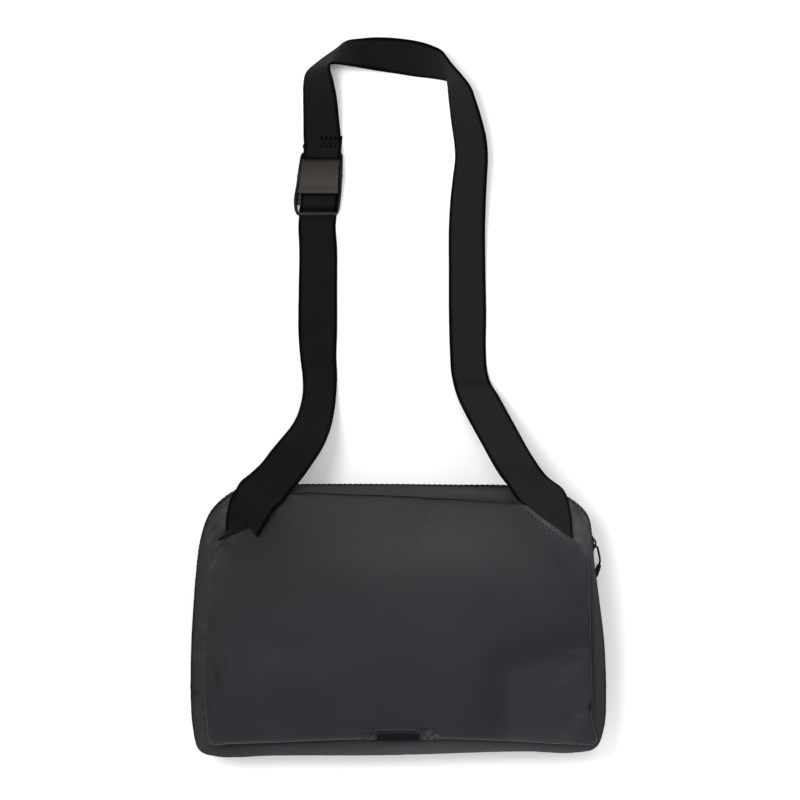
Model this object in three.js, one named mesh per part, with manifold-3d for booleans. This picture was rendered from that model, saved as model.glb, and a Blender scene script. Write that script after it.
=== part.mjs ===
// A soft handlebar bag that lies on its back, with its webbing shoulder strap spread out above it.
// Millimetres. +X is to the bag's right, +Y is up along its height, +Z is out of its front.
// The origin is the middle of the back, on the surface that the bag lies on.
import * as THREE from 'three';
import { mergeVertices } from 'three/addons/utils/BufferGeometryUtils.js';
import Module from 'manifold-3d';

const wasm = await Module();
wasm.setup();

// General sizes
const CLOTH = 1.6; // coated cloth wall
const WEBBING = 1.4; // strap webbing
const GAP = 0.3; // clearance between pieces that meet
const MERGE_DISTANCE = 1e-4; // corners nearer than this are one corner

// Bag shell
const MIDDLE_Z = 29; // height of the widest line of the gusset, where the zip runs
const BACK_RIM_Z = 4; // the back turns up to its seam by this much
const BACK_INSET = 5; // the back seam lies this far inside the widest line
const BACK_FLAT = 0.86; // share of the back that lies flat
const GUSSET_BOW = THREE.MathUtils.degToRad(50); // half the angle of the gusset's round section
const GUSSET_STEPS = 7;
const TOP_GUSSET_STEPS = 3;
const CREST_Z = 54.5; // mean height of the front seam
const CROWN = 6; // the front rises this far above its seam
const CROWN_POWER = 3;
const EDGE_POWER = 2; // panels leave their flat middle slowly and steepen to their edge
const DENT_POWER = 8; // dents fade out just inside the seam
const WELT = 0.6; // the front's edge overhangs the gusset
const PANEL_CENTRE = { x: 0, y: -2 };
const FRONT_RINGS = [1, 0.965, 0.91, 0.84, 0.76, 0.67, 0.57, 0.46, 0.34, 0.21, 0.09];
const BACK_RINGS = [1, 0.965, 0.93, BACK_FLAT, 0.45];
const STEPS_PER_ROW = 2;
const SEARCH_STEP = 0.05; // rows between the rays that find a place on the front

// The outline, counterclockwise from the bottom's middle. x and y give the widest line, and
// seamX, seamY and seamZ the front seam that belongs to it.
const OUTLINE = [
  { x: 0, y: -71.7, seamX: 0, seamY: -60.5, seamZ: 53 },
  { x: 35, y: -70.9, seamX: 33, seamY: -61, seamZ: 53.5 },
  { x: 70, y: -70.4, seamX: 68, seamY: -62.4, seamZ: 53 },
  { x: 94, y: -70.7, seamX: 92, seamY: -63.2, seamZ: 51 },
  { x: 107, y: -67.5, seamX: 100.5, seamY: -61.8, seamZ: 49.5 },
  { x: 111.5, y: -57, seamX: 103, seamY: -54, seamZ: 50.5 },
  { x: 113, y: -38, seamX: 104, seamY: -36, seamZ: 53 },
  { x: 112, y: -12, seamX: 103.8, seamY: -12, seamZ: 54.5 },
  { x: 109, y: 10, seamX: 103.4, seamY: 10, seamZ: 55 },
  { x: 106.5, y: 30, seamX: 102.8, seamY: 30, seamZ: 54 },
  { x: 105.4, y: 46, seamX: 99.5, seamY: 40.5, seamZ: 53 },
  { x: 103.3, y: 59, seamX: 92.4, seamY: 48.2, seamZ: 52.5 },
  { x: 95.4, y: 67.2, seamX: 80.5, seamY: 57, seamZ: 53 },
  { x: 82, y: 73.6, seamX: 69.5, seamY: 64.6, seamZ: 54.5 },
  { x: 60, y: 75.6, seamX: 56, seamY: 66.3, seamZ: 55.5 },
  { x: 30, y: 75.9, seamX: 29, seamY: 68, seamZ: 56 },
  { x: 0, y: 76.2, seamX: 0, seamY: 69.6, seamZ: 56 },
  { x: -30, y: 76.3, seamX: -29, seamY: 70.6, seamZ: 56 },
  { x: -58, y: 76.2, seamX: -55, seamY: 71.3, seamZ: 55.5 },
  { x: -84, y: 75.6, seamX: -69, seamY: 68.5, seamZ: 54.5 },
  { x: -97, y: 68.7, seamX: -81, seamY: 58.5, seamZ: 53 },
  { x: -104.8, y: 60.2, seamX: -93, seamY: 48.5, seamZ: 52.5 },
  { x: -109, y: 48, seamX: -101, seamY: 40.5, seamZ: 53 },
  { x: -111.5, y: 30, seamX: -104.2, seamY: 29, seamZ: 54 },
  { x: -113, y: 10, seamX: -104.6, seamY: 10, seamZ: 55 },
  { x: -114.3, y: -12, seamX: -105, seamY: -12, seamZ: 54.5 },
  { x: -114.6, y: -38, seamX: -105.4, seamY: -36, seamZ: 53 },
  { x: -113.2, y: -57, seamX: -104.4, seamY: -54, seamZ: 50.5 },
  { x: -109.7, y: -69.2, seamX: -100.5, seamY: -62.2, seamZ: 49.5 },
  { x: -99, y: -73, seamX: -92, seamY: -63.8, seamZ: 51 },
  { x: -70, y: -72.8, seamX: -68, seamY: -62.8, seamZ: 53 },
  { x: -35, y: -72.1, seamX: -33, seamY: -61.3, seamZ: 53.5 },
];

// Soft hollows and swellings of the front, each with its reach along its own turned axes
const DENTS = [
  { x: 78, y: -11, reachX: 26, reachY: 7, turn: 4, rise: -2.2 },
  { x: 49, y: -33, reachX: 7, reachY: 22, turn: -8, rise: -2.2 },
  { x: 80, y: -40, reachX: 17, reachY: 14, turn: 10, rise: 1.6 },
  { x: -100, y: -27, reachX: 6, reachY: 9, turn: 0, rise: -1 },
  { x: -62, y: -12, reachX: 30, reachY: 8, turn: -4, rise: -0.9 },
  { x: -20, y: 30, reachX: 50, reachY: 20, turn: 0, rise: 0.8 },
];

// Zip. It runs over the top between two places on the outline, counted in rows.
const ZIP_FROM = 9.4;
const ZIP_TO = 23.25;
const ZIP_END_GAP = 0.045;
const ZIP_BOW = 0.19; // the top gussets keep this share of their bow clear for the zip
const ZIP_STEPS = 34;
const ZIP_Z = MIDDLE_Z - 0.5;
const ZIP_SECTION = [
  { out: -2.5, up: -3.8 },
  { out: -1.5, up: -3.8 },
  { out: -1.5, up: -1.6 },
  { out: -0.9, up: -1.1 },
  { out: -0.9, up: 1.1 },
  { out: -1.5, up: 1.6 },
  { out: -1.5, up: 3.8 },
  { out: -2.5, up: 3.8 },
];
const SLIDER = { row: 9.85, thick: 1.2 };
const SLIDER_RIB = { length: 5, width: 2.4, thick: 1.1 };
const SLIDER_SHAPE = [
  { along: -4, half: 1.9 },
  { along: -1.6, half: 3.1 },
  { along: 2.8, half: 3.1 },
  { along: 4, half: 2.2 },
];

// The pull cord leaves the slider, bends over and falls to the surface beside the bag.
const CORD_DIAMETER = 1;
const CORD_SIDES = 8;
const CORD_ROUTE = [
  [108.1, 41.5, 29.5],
  [108.2, 41, 30.6],
  [108.3, 40.2, 31.2],
  [108.5, 39.2, 31.1],
  [108.8, 38.2, 29.9],
  [109.1, 37.2, 28],
  [109.4, 36.3, 25.6],
  [109.7, 35.5, 22.9],
  [109.9, 34.8, 20.1],
  [110.1, 34.1, 17.2],
  [110.3, 33.5, 14.3],
  [110.4, 32.9, 11.4],
  [110.5, 32.3, 8.4],
  [110.5, 31.6, 5.5],
  [110.5, 30.6, 2.9],
];
const PULL_TAB = { length: 6.4, width: 3, thick: 2, corner: 0.75, lean: 0.35, droop: 0.2 };

// Sewn patch and webbing at the bottom edge of the front
const PATCH = { fromX: -23.2, toX: 22.2, fromY: -61.2, toY: -54.4, thick: 0.9, columns: 8, rows: 3 };
const LIGHT_LOOP = { fromX: -11.9, toX: 9.8, thick: 1.1, columns: 4 };
const LIGHT_LOOP_PATH = [
  { y: -57.9, lift: 1.7 },
  { y: -59.6, lift: 1.7 },
  { y: -61.6, lift: 1.8 },
  { y: -62.6, lift: 0.4 },
  { y: -63.4, lift: -2.2 },
];

// Buckle, in its own frame: across is to its right, along is towards its strap loop
const BUCKLE = { x: -44.7, y: 241.9, turn: -4.5 };
const FRAME_OUTLINE = [
  { along: 17.6, half: 10.6 },
  { along: 16.4, half: 11.5 },
  { along: 11, half: 12.1 },
  { along: 3, half: 12.5 },
  { along: -8, half: 12.5 },
  { along: -14.6, half: 12 },
  { along: -16.6, half: 11.2 },
  { along: -17.4, half: 10.2 },
];
const FRAME_WINDOW = { half: 10.6, from: -15.7, to: 16.2 };
const FRAME_SIDE = [
  { along: -17.4, height: 0 },
  { along: 17.6, height: 0 },
  { along: 17.6, height: 4 },
  { along: 13, height: 5 },
  { along: 8, height: 6.5 },
  { along: 1, height: 6.5 },
  { along: -6, height: 4.8 },
  { along: -17.4, height: 3.6 },
];
const BAR_LOW = { from: 1.9, to: 3.5 }; // heights of the bar that the free strap passes under
const BAR_TOP = { from: 2.1, to: 3.8 }; // heights of the bar that carries the sewn loop
const BASE_PLATE = { from: -4, to: 13.8, thick: 0.8 };
const PIVOT = { along: 4.4, height: 4.6, pin: 1.1, hole: 1.45, reach: 12.8, sides: 12 };
const LEVER_HALF = 10.2;
const LEVER_SIDE = [
  { along: 9.2, height: 1.6 },
  { along: 5.5, height: 2.4 },
  { along: 0, height: 2.9 },
  { along: -5, height: 3.2 },
  { along: -8.6, height: 3.7 },
  { along: -9.5, height: 3.5 },
  { along: -9.7, height: 2.9 },
  { along: -9.2, height: 2 },
  { along: -7.5, height: 1.7 },
  { along: -4, height: 1.7 },
  { along: -1.8, height: 1.3 },
  { along: -1.5, height: 0 },
  { along: -1.06, height: -1.06 },
  { along: 0, height: -1.5 },
  { along: 1.06, height: -1.06 },
  { along: 1.5, height: 0 },
  { along: 1.8, height: 1.1 },
  { along: 5.5, height: 1 },
  { along: 9.2, height: 0.4 },
];

// Straps. Each row is a straight line across the webbing, on its underside, from its inner edge
// to its outer edge as seen from the middle of the strap's loop.
const STRAP_COLUMNS = 2;
const STRAP_LIE = 0.15; // the straps lie this far above the surface
const LOOP_HALF = 9.7;
const SEWN_LOOP = [
  { along: 27, height: 1.65 },
  { along: 22, height: 1.65 },
  { along: 18.2, height: 1.65 },
  { along: 16.3, height: 1.6 },
  { along: 15.7, height: 2.05 },
  { along: 15.6, height: 2.95 },
  { along: 15.7, height: 3.8 },
  { along: 16.3, height: 4.3 },
  { along: 18.2, height: 4.25 },
  { along: 20.5, height: 3.2 },
];
const MAIN_ROWS = [
  { inX: -33.4, inY: 265.4, inZ: 2.4, outX: -52.7, outY: 265.4, outZ: 2.2 },
  { inX: -33.6, inY: 270.4, inZ: 2.8, outX: -52.9, outY: 270.4, outZ: 1.4 },
  { inX: -34.1, inY: 277.2, inZ: 5.6, outX: -52.8, outY: 277.2, outZ: 0.1 },
  { inX: -35.3, inY: 289.6, inZ: 9.7, outX: -52.8, outY: 290, outZ: 0 },
  { inX: -37.2, inY: 299.4, inZ: 13, outX: -52.6, outY: 297.7, outZ: 0 },
  { inX: -38.5, inY: 304.4, inZ: 16, outX: -51.1, outY: 303.5, outZ: 0.2 },
  { inX: -38.4, inY: 306.3, inZ: 17.2, outX: -43.5, outY: 310.2, outZ: 0.6 },
  { inX: -37.4, inY: 307.1, inZ: 17, outX: -34.8, outY: 316.4, outZ: 1 },
  { inX: -30.6, inY: 307, inZ: 13, outX: -29.2, outY: 320.6, outZ: 1.2 },
  { inX: -23, inY: 306.5, inZ: 7.6, outX: -21.4, outY: 321.9, outZ: 2 },
  { inX: -13.3, inY: 305.5, inZ: 3.2, outX: -13.5, outY: 322.6, outZ: 3.8 },
  { inX: -2.6, inY: 304.3, inZ: 1, outX: -1.7, outY: 322, outZ: 6.8 },
  { inX: 8.3, inY: 302.8, inZ: 0.2, outX: 10.3, outY: 320, outZ: 10.2 },
  { inX: 17.6, inY: 301.8, inZ: 0, outX: 18.3, outY: 317.4, outZ: 12.6 },
  { inX: 24.2, inY: 300.8, inZ: 0, outX: 23.3, outY: 314.7, outZ: 14.4 },
  { inX: 26.9, inY: 300, inZ: 0, outX: 28.3, outY: 308, outZ: 17.6 },
  { inX: 27.5, inY: 297.6, inZ: 0, outX: 34.1, outY: 301.2, outZ: 18.2 },
  { inX: 27.9, inY: 292.7, inZ: 0, outX: 38.9, outY: 295, outZ: 16.4 },
  { inX: 28.5, inY: 286.1, inZ: 0, outX: 41.7, outY: 287.7, outZ: 14.8 },
  { inX: 29.7, inY: 275.5, inZ: 0, outX: 45, outY: 277.2, outZ: 12.6 },
  { inX: 31.1, inY: 265.5, inZ: 0, outX: 47.5, outY: 266.6, outZ: 11.2 },
  { inX: 31.6, inY: 256.6, inZ: 0, outX: 48.3, outY: 256.6, outZ: 10.6 },
  { inX: 30.3, inY: 245.5, inZ: 0, outX: 47.8, outY: 245.5, outZ: 9.2 },
  { inX: 28.9, inY: 233.3, inZ: 0, outX: 47.2, outY: 233.3, outZ: 7.4 },
  { inX: 27.9, inY: 216.6, inZ: 0, outX: 46.7, outY: 216.6, outZ: 4.6 },
  { inX: 27.8, inY: 194.4, inZ: 0, outX: 46.8, outY: 194.4, outZ: 1.6 },
  { inX: 27.8, inY: 169.4, inZ: 0, outX: 47.2, outY: 169.4, outZ: 0 },
  { inX: 28.3, inY: 150.7, inZ: 0, outX: 47, outY: 150.7, outZ: 0 },
  { inX: 29.2, inY: 136.7, inZ: 0.4, outX: 47.8, outY: 138.4, outZ: 0.6 },
  { inX: 32.2, inY: 124.5, inZ: 5.5, outX: 49.8, outY: 131, outZ: 4.6 },
  { inX: 36.4, inY: 115.1, inZ: 13.6, outX: 54, outY: 123.9, outZ: 12.2 },
  { inX: 45.1, inY: 98.7, inZ: 28, outX: 62.7, outY: 107.4, outZ: 26.4 },
  { inX: 53.8, inY: 82.6, inZ: 44, outX: 71.4, outY: 91.2, outZ: 38.4 },
  { inX: 59.4, inY: 74.8, inZ: 51.4, outX: 78.6, outY: 80.8, outZ: 43.6 },
  { inX: 64, inY: 69.4, inZ: 53.4, outX: 88.2, outY: 70, outZ: 43 },
  { inX: 67.6, inY: 67.8, inZ: 53.8, outX: 92.8, outY: 58, outZ: 48 },
  { inX: 70.9, inY: 66.1, inZ: 53.2, outX: 93.5, outY: 49.5, outZ: 51.2 },
];
const ADJUSTER_ROWS = [
  { inX: -77.6, inY: 48.4, inZ: 58.6, outX: -90.4, outY: 67.8, outZ: 50.6 },
  { inX: -69.2, inY: 64.6, inZ: 58.6, outX: -86, outY: 77, outZ: 50.2 },
  { inX: -64.4, inY: 67.8, inZ: 57.6, outX: -80.6, outY: 81.6, outZ: 49.2 },
  { inX: -59, inY: 72.8, inZ: 54.8, outX: -74.8, outY: 87.1, outZ: 46.4 },
  { inX: -52.7, inY: 80.9, inZ: 48.4, outX: -70.2, outY: 93.3, outZ: 41.8 },
  { inX: -48, inY: 87.8, inZ: 42, outX: -65, outY: 99.8, outZ: 37 },
  { inX: -42.7, inY: 96.5, inZ: 31.4, outX: -59.8, outY: 106.3, outZ: 28.4 },
  { inX: -39.1, inY: 105.7, inZ: 20.4, outX: -56.2, outY: 112.9, outZ: 19 },
  { inX: -37.1, inY: 115, inZ: 11, outX: -54.3, outY: 119.5, outZ: 10.4 },
  { inX: -36.1, inY: 123.8, inZ: 4.4, outX: -53.3, outY: 126, outZ: 4.2 },
  { inX: -35.6, inY: 134.4, inZ: 0.6, outX: -53.4, outY: 134.4, outZ: 0.6 },
  { inX: -36, inY: 147.2, inZ: 0, outX: -54.9, outY: 147.2, outZ: 0 },
  { inX: -35.6, inY: 161.1, inZ: 0, outX: -55.8, outY: 161.1, outZ: 0 },
  { inX: -35.6, inY: 183.3, inZ: 0, outX: -55.6, outY: 183.3, outZ: 0 },
  { inX: -35.6, inY: 205.5, inZ: 0, outX: -55.3, outY: 205.5, outZ: 0 },
];
const ADJUSTER_SHIFT = 0.4; // the free strap lies a little to the right in the buckle
const ADJUSTER_IN_BUCKLE = [
  { along: -23, height: 0 },
  { along: -19, height: 0 },
  { along: -16.5, height: 0 },
  { along: -13, height: 0.3 },
  { along: -8, height: 0.9 },
  { along: -4.4, height: 1.1 },
  { along: 0, height: 1.1 },
  { along: 3, height: 1.1 },
];
const ANCHOR_ROWS = [
  { inX: -70.6, inY: 70, inZ: 52.8, outX: -94, outY: 49.7, outZ: 50.8 },
  { inX: -68, inY: 71.6, inZ: 53, outX: -93.4, outY: 58.6, outZ: 48 },
  { inX: -66, inY: 73.2, inZ: 52.2, outX: -90.6, outY: 70, outZ: 45.2 },
  { inX: -65, inY: 75, inZ: 50.2, outX: -83, outY: 79, outZ: 45 },
];

// Finishes
const finish = (color, roughness, metalness = 0) => {
  return new THREE.MeshStandardMaterial({ color, roughness, metalness, side: THREE.FrontSide });
};
const CLOTH_GREY = 0x3d3f43;
const WEBBING_BLACK = 0x1e1c1b;
const METAL_DARK = 0x423e3b;

const vector = (x, y, z) => new THREE.Vector3(x, y, z);

// Gives a triangle list outward faces by the sign of its volume.
function closedBody(points, faces) {
  let volume = 0;
  for (const [a, b, c] of faces) {
    volume += points[a].dot(points[b].clone().cross(points[c]));
  }
  const order = volume < 0 ? faces.map(([a, b, c]) => [a, c, b]) : faces;
  const geometry = new THREE.BufferGeometry().setFromPoints(points);
  geometry.setIndex(order.flat());
  geometry.computeVertexNormals();
  return geometry;
}

// Normals of a grid of points from its own lines. The first direction may close on itself.
function gridNormals(grid, closed) {
  const last = grid.length - 1;
  return grid.map((line, i) => {
    const before = closed ? grid[(i + last) % grid.length] : grid[Math.max(i - 1, 0)];
    const after = closed ? grid[(i + 1) % grid.length] : grid[Math.min(i + 1, last)];
    return line.map((_, j) => {
      const along = after[j].clone().sub(before[j]);
      const across = line[Math.min(j + 1, line.length - 1)].clone().sub(line[Math.max(j - 1, 0)]);
      return along.cross(across).normalize();
    });
  });
}

// A wall: a grid of points, a second one at the given thickness along the normals, and the rims.
// With a hub, the last points of all lines close on one middle point.
function wall(grid, thickness, { closed = false, hub = null } = {}) {
  const rows = grid.length;
  const columns = grid[0].length;
  const normals = gridNormals(grid, closed);
  const points = [];
  for (const depth of [0, thickness]) {
    grid.forEach((line, i) => {
      line.forEach((point, j) => points.push(point.clone().addScaledVector(normals[i][j], depth)));
    });
  }
  const layer = rows * columns;
  const at = (side, i, j) => side * layer + (i % rows) * columns + j;
  const faces = [];
  const quad = (a, b, c, d) => faces.push([a, b, c], [a, c, d]);
  const spans = closed ? rows : rows - 1;
  for (let i = 0; i < spans; i += 1) {
    for (let j = 0; j < columns - 1; j += 1) {
      quad(at(0, i, j), at(0, i, j + 1), at(0, i + 1, j + 1), at(0, i + 1, j));
      quad(at(1, i, j), at(1, i + 1, j), at(1, i + 1, j + 1), at(1, i, j + 1));
    }
    quad(at(0, i, 0), at(0, i + 1, 0), at(1, i + 1, 0), at(1, i, 0));
    if (!hub) {
      const edge = columns - 1;
      quad(at(0, i, edge), at(1, i, edge), at(1, i + 1, edge), at(0, i + 1, edge));
    }
  }
  if (!closed) {
    const end = rows - 1;
    for (let j = 0; j < columns - 1; j += 1) {
      quad(at(0, 0, j), at(1, 0, j), at(1, 0, j + 1), at(0, 0, j + 1));
      quad(at(0, end, j), at(0, end, j + 1), at(1, end, j + 1), at(1, end, j));
    }
  }
  if (hub) {
    const edge = columns - 1;
    const outer = points.push(hub.clone()) - 1;
    const inner = points.push(hub.clone().add(vector(0, 0, thickness))) - 1;
    for (let i = 0; i < rows; i += 1) {
      faces.push([at(0, i, edge), outer, at(0, i + 1, edge)]);
      faces.push([at(1, i, edge), at(1, i + 1, edge), inner]);
    }
  }
  return closedBody(points, faces);
}

// Boolean joins and cuts
function solid(geometry) {
  const bare = geometry.clone();
  bare.deleteAttribute('normal');
  bare.deleteAttribute('uv');
  const merged = mergeVertices(bare, MERGE_DISTANCE);
  const vertProperties = new Float32Array(merged.attributes.position.array);
  const triVerts = new Uint32Array(merged.index.array);
  return new wasm.Manifold(new wasm.Mesh({ numProp: 3, vertProperties, triVerts }));
}

function geometryOf(body) {
  const mesh = body.getMesh();
  const geometry = new THREE.BufferGeometry();
  geometry.setAttribute('position', new THREE.BufferAttribute(new Float32Array(mesh.vertProperties), 3));
  geometry.setIndex(new THREE.BufferAttribute(new Uint32Array(mesh.triVerts), 1));
  geometry.computeVertexNormals();
  return geometry;
}

function box(fromX, toX, fromY, toY, fromZ, toZ) {
  const geometry = new THREE.BoxGeometry(toX - fromX, toY - fromY, toZ - fromZ);
  return geometry.translate((fromX + toX) / 2, (fromY + toY) / 2, (fromZ + toZ) / 2);
}

function extrude(points, depth) {
  const shape = new THREE.Shape(points.map(([x, y]) => new THREE.Vector2(x, y)));
  return new THREE.ExtrudeGeometry(shape, { depth, bevelEnabled: false });
}

const object = new THREE.Group();
object.name = 'handlebar_bag';

function add(name, geometry, material, parent = object) {
  const mesh = new THREE.Mesh(geometry, material);
  mesh.name = name;
  parent.add(mesh);
  return mesh;
}

// The bag's guiding lines, read by their place in rows of the outline
const middleLine = new THREE.CatmullRomCurve3(OUTLINE.map((row) => vector(row.x, row.y, MIDDLE_Z)), true);
const seamLine = new THREE.CatmullRomCurve3(
  OUTLINE.map((row) => vector(row.seamX, row.seamY, row.seamZ)),
  true,
);
const turns = (row) => (row / OUTLINE.length + 1) % 1;
const middleAt = (row) => middleLine.getPoint(turns(row));
const seamAt = (row) => seamLine.getPoint(turns(row));

function outwardAt(row) {
  const along = middleLine.getTangent(turns(row));
  return vector(along.y, -along.x, 0).normalize();
}

function backAt(row) {
  return middleAt(row).addScaledVector(outwardAt(row), -BACK_INSET).setZ(BACK_RIM_Z);
}

// A point of the gusset: bow runs from -1 at the back seam to 1 at the front seam on a round section.
function gussetAt(row, bow) {
  const angle = bow * GUSSET_BOW;
  const share = (Math.cos(angle) - Math.cos(GUSSET_BOW)) / (1 - Math.cos(GUSSET_BOW));
  const rise = Math.sin(angle) / Math.sin(GUSSET_BOW);
  const edge = bow > 0 ? seamAt(row) : backAt(row);
  const edgeZ = bow > 0 ? edge.z - CLOTH - GAP : edge.z + CLOTH + GAP;
  const point = edge.lerp(middleAt(row), share);
  return point.setZ(MIDDLE_Z + rise * Math.abs(edgeZ - MIDDLE_Z));
}

function gusset(fromRow, toRow, fromBow, toBow, steps) {
  const spans = Math.round((toRow - fromRow) * STEPS_PER_ROW);
  const grid = [];
  for (let i = 0; i <= spans; i += 1) {
    const row = THREE.MathUtils.lerp(fromRow, toRow, i / spans);
    const line = [];
    for (let j = 0; j <= steps; j += 1) {
      line.push(gussetAt(row, THREE.MathUtils.lerp(fromBow, toBow, j / steps)));
    }
    grid.push(line);
  }
  return wall(grid, -CLOTH);
}

// Height of the hollows and swellings at a place on the front
function dentAt(x, y) {
  let rise = 0;
  for (const dent of DENTS) {
    const turn = THREE.MathUtils.degToRad(dent.turn);
    const offsetX = x - dent.x;
    const offsetY = y - dent.y;
    const alongX = (offsetX * Math.cos(turn) + offsetY * Math.sin(turn)) / dent.reachX;
    const alongY = (offsetY * Math.cos(turn) - offsetX * Math.sin(turn)) / dent.reachY;
    rise += dent.rise * Math.exp(-alongX * alongX - alongY * alongY);
  }
  return rise;
}

// A point of the front: ring runs from 1 at the seam to 0 in the middle.
function frontAt(row, ring) {
  const seam = seamAt(row).addScaledVector(outwardAt(row), WELT);
  const x = THREE.MathUtils.lerp(PANEL_CENTRE.x, seam.x, ring);
  const y = THREE.MathUtils.lerp(PANEL_CENTRE.y, seam.y, ring);
  const crown = 1 - ring ** CROWN_POWER;
  const rest = THREE.MathUtils.lerp(CREST_Z, seam.z, ring ** EDGE_POWER);
  return vector(x, y, rest + CROWN * crown + dentAt(x, y) * (1 - ring ** DENT_POWER));
}

function backPanelAt(row, ring) {
  const rim = backAt(row).addScaledVector(outwardAt(row), WELT);
  const x = THREE.MathUtils.lerp(PANEL_CENTRE.x, rim.x, ring);
  const y = THREE.MathUtils.lerp(PANEL_CENTRE.y, rim.y, ring);
  const turnUp = Math.max(0, (ring - BACK_FLAT) / (1 - BACK_FLAT));
  return vector(x, y, BACK_RIM_Z * turnUp ** EDGE_POWER);
}

function panel(pointAt, rings, thickness) {
  const grid = [];
  for (let i = 0; i < OUTLINE.length * STEPS_PER_ROW; i += 1) {
    grid.push(rings.map((ring) => pointAt(i / STEPS_PER_ROW, ring)));
  }
  return wall(grid, thickness, { closed: true, hub: pointAt(0, 0) });
}

// Height of the front at any place, found along the ray from the panel's middle
function frontHeight(x, y) {
  const angle = Math.atan2(y - PANEL_CENTRE.y, x - PANEL_CENTRE.x);
  let best = { miss: Infinity, row: 0 };
  for (let row = 0; row < OUTLINE.length; row += SEARCH_STEP) {
    const seam = frontAt(row, 1);
    const seamAngle = Math.atan2(seam.y - PANEL_CENTRE.y, seam.x - PANEL_CENTRE.x);
    const miss = Math.abs(Math.atan2(Math.sin(seamAngle - angle), Math.cos(seamAngle - angle)));
    if (miss < best.miss) {
      best = { miss, row };
    }
  }
  const rim = frontAt(best.row, 1);
  const reach = Math.hypot(rim.x - PANEL_CENTRE.x, rim.y - PANEL_CENTRE.y);
  const ring = Math.min(1, Math.hypot(x - PANEL_CENTRE.x, y - PANEL_CENTRE.y) / reach);
  return frontAt(best.row, ring).z;
}

// Shell
const around = OUTLINE.length;
add('front_panel', panel(frontAt, FRONT_RINGS, -CLOTH), finish(CLOTH_GREY, 0.6));
add('back_panel', panel(backPanelAt, BACK_RINGS, CLOTH), finish(CLOTH_GREY, 0.7));
add('gusset_base', gusset(ZIP_TO, ZIP_FROM + around, -1, 1, GUSSET_STEPS), finish(CLOTH_GREY, 0.6));
const zipFrom = ZIP_FROM + ZIP_END_GAP;
const zipTo = ZIP_TO - ZIP_END_GAP;
add('gusset_top_front', gusset(zipFrom, zipTo, ZIP_BOW, 1, TOP_GUSSET_STEPS), finish(CLOTH_GREY, 0.6));
add('gusset_top_back', gusset(zipFrom, zipTo, -1, -ZIP_BOW, TOP_GUSSET_STEPS), finish(CLOTH_GREY, 0.6));

// Zip: one section carried along the widest line
function zipChain() {
  const points = [];
  const faces = [];
  const sides = ZIP_SECTION.length;
  for (let i = 0; i <= ZIP_STEPS; i += 1) {
    const row = THREE.MathUtils.lerp(zipFrom, zipTo, i / ZIP_STEPS);
    const outward = outwardAt(row);
    for (const corner of ZIP_SECTION) {
      const point = middleAt(row).addScaledVector(outward, corner.out);
      points.push(point.setZ(ZIP_Z + corner.up));
    }
  }
  for (let i = 0; i < ZIP_STEPS; i += 1) {
    for (let j = 0; j < sides; j += 1) {
      const next = (j + 1) % sides;
      const here = i * sides;
      const there = here + sides;
      faces.push([here + j, here + next, there + next]);
      faces.push([here + j, there + next, there + j]);
    }
  }
  const contour = ZIP_SECTION.map((corner) => new THREE.Vector2(corner.out, corner.up));
  const end = ZIP_STEPS * sides;
  for (const [a, b, c] of THREE.ShapeUtils.triangulateShape(contour, [])) {
    faces.push([a, c, b], [end + a, end + b, end + c]);
  }
  return closedBody(points, faces);
}
add('zip_chain', zipChain(), finish(WEBBING_BLACK, 0.5));

// The slider's own frame: X along the zip, Y up, Z out of the gusset
const sliderFrame = new THREE.Group();
const sliderOut = outwardAt(SLIDER.row);
const sliderAlong = vector(-sliderOut.y, sliderOut.x, 0);
sliderFrame.applyMatrix4(
  new THREE.Matrix4().makeBasis(sliderAlong, vector(0, 0, 1), sliderOut).setPosition(middleAt(SLIDER.row)),
);
object.add(sliderFrame);

function sliderBody() {
  const floor = Math.max(...ZIP_SECTION.map((corner) => corner.out)) + GAP;
  const right = SLIDER_SHAPE.map(({ along, half }) => [along, -half]);
  const left = SLIDER_SHAPE.map(({ along, half }) => [along, half]).reverse();
  const plate = extrude([...right, ...left], SLIDER.thick).translate(0, 0, floor);
  const top = floor + SLIDER.thick;
  const ribHalf = SLIDER_RIB.length / 2;
  const ribWide = SLIDER_RIB.width / 2;
  const rib = box(-ribHalf, ribHalf, -ribWide, ribWide, floor, top + SLIDER_RIB.thick);
  return geometryOf(solid(plate).add(solid(rib)));
}
add('zip_slider', sliderBody(), finish(METAL_DARK, 0.4, 0.6), sliderFrame);

// Pull cord and its end
const cordLine = new THREE.CatmullRomCurve3(CORD_ROUTE.map(([x, y, z]) => vector(x, y, z)));
const ringOf = (radius, sides) => {
  return Array.from({ length: sides }, (_, i) => {
    const angle = (i / sides) * 2 * Math.PI;
    return new THREE.Vector2(radius * Math.cos(angle), radius * Math.sin(angle));
  });
};
const cordGeometry = new THREE.ExtrudeGeometry(new THREE.Shape(ringOf(CORD_DIAMETER / 2, CORD_SIDES)), {
  extrudePath: cordLine,
  steps: CORD_ROUTE.length,
  bevelEnabled: false,
});
add('zip_pull_cord', cordGeometry, finish(WEBBING_BLACK, 0.8));

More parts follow.
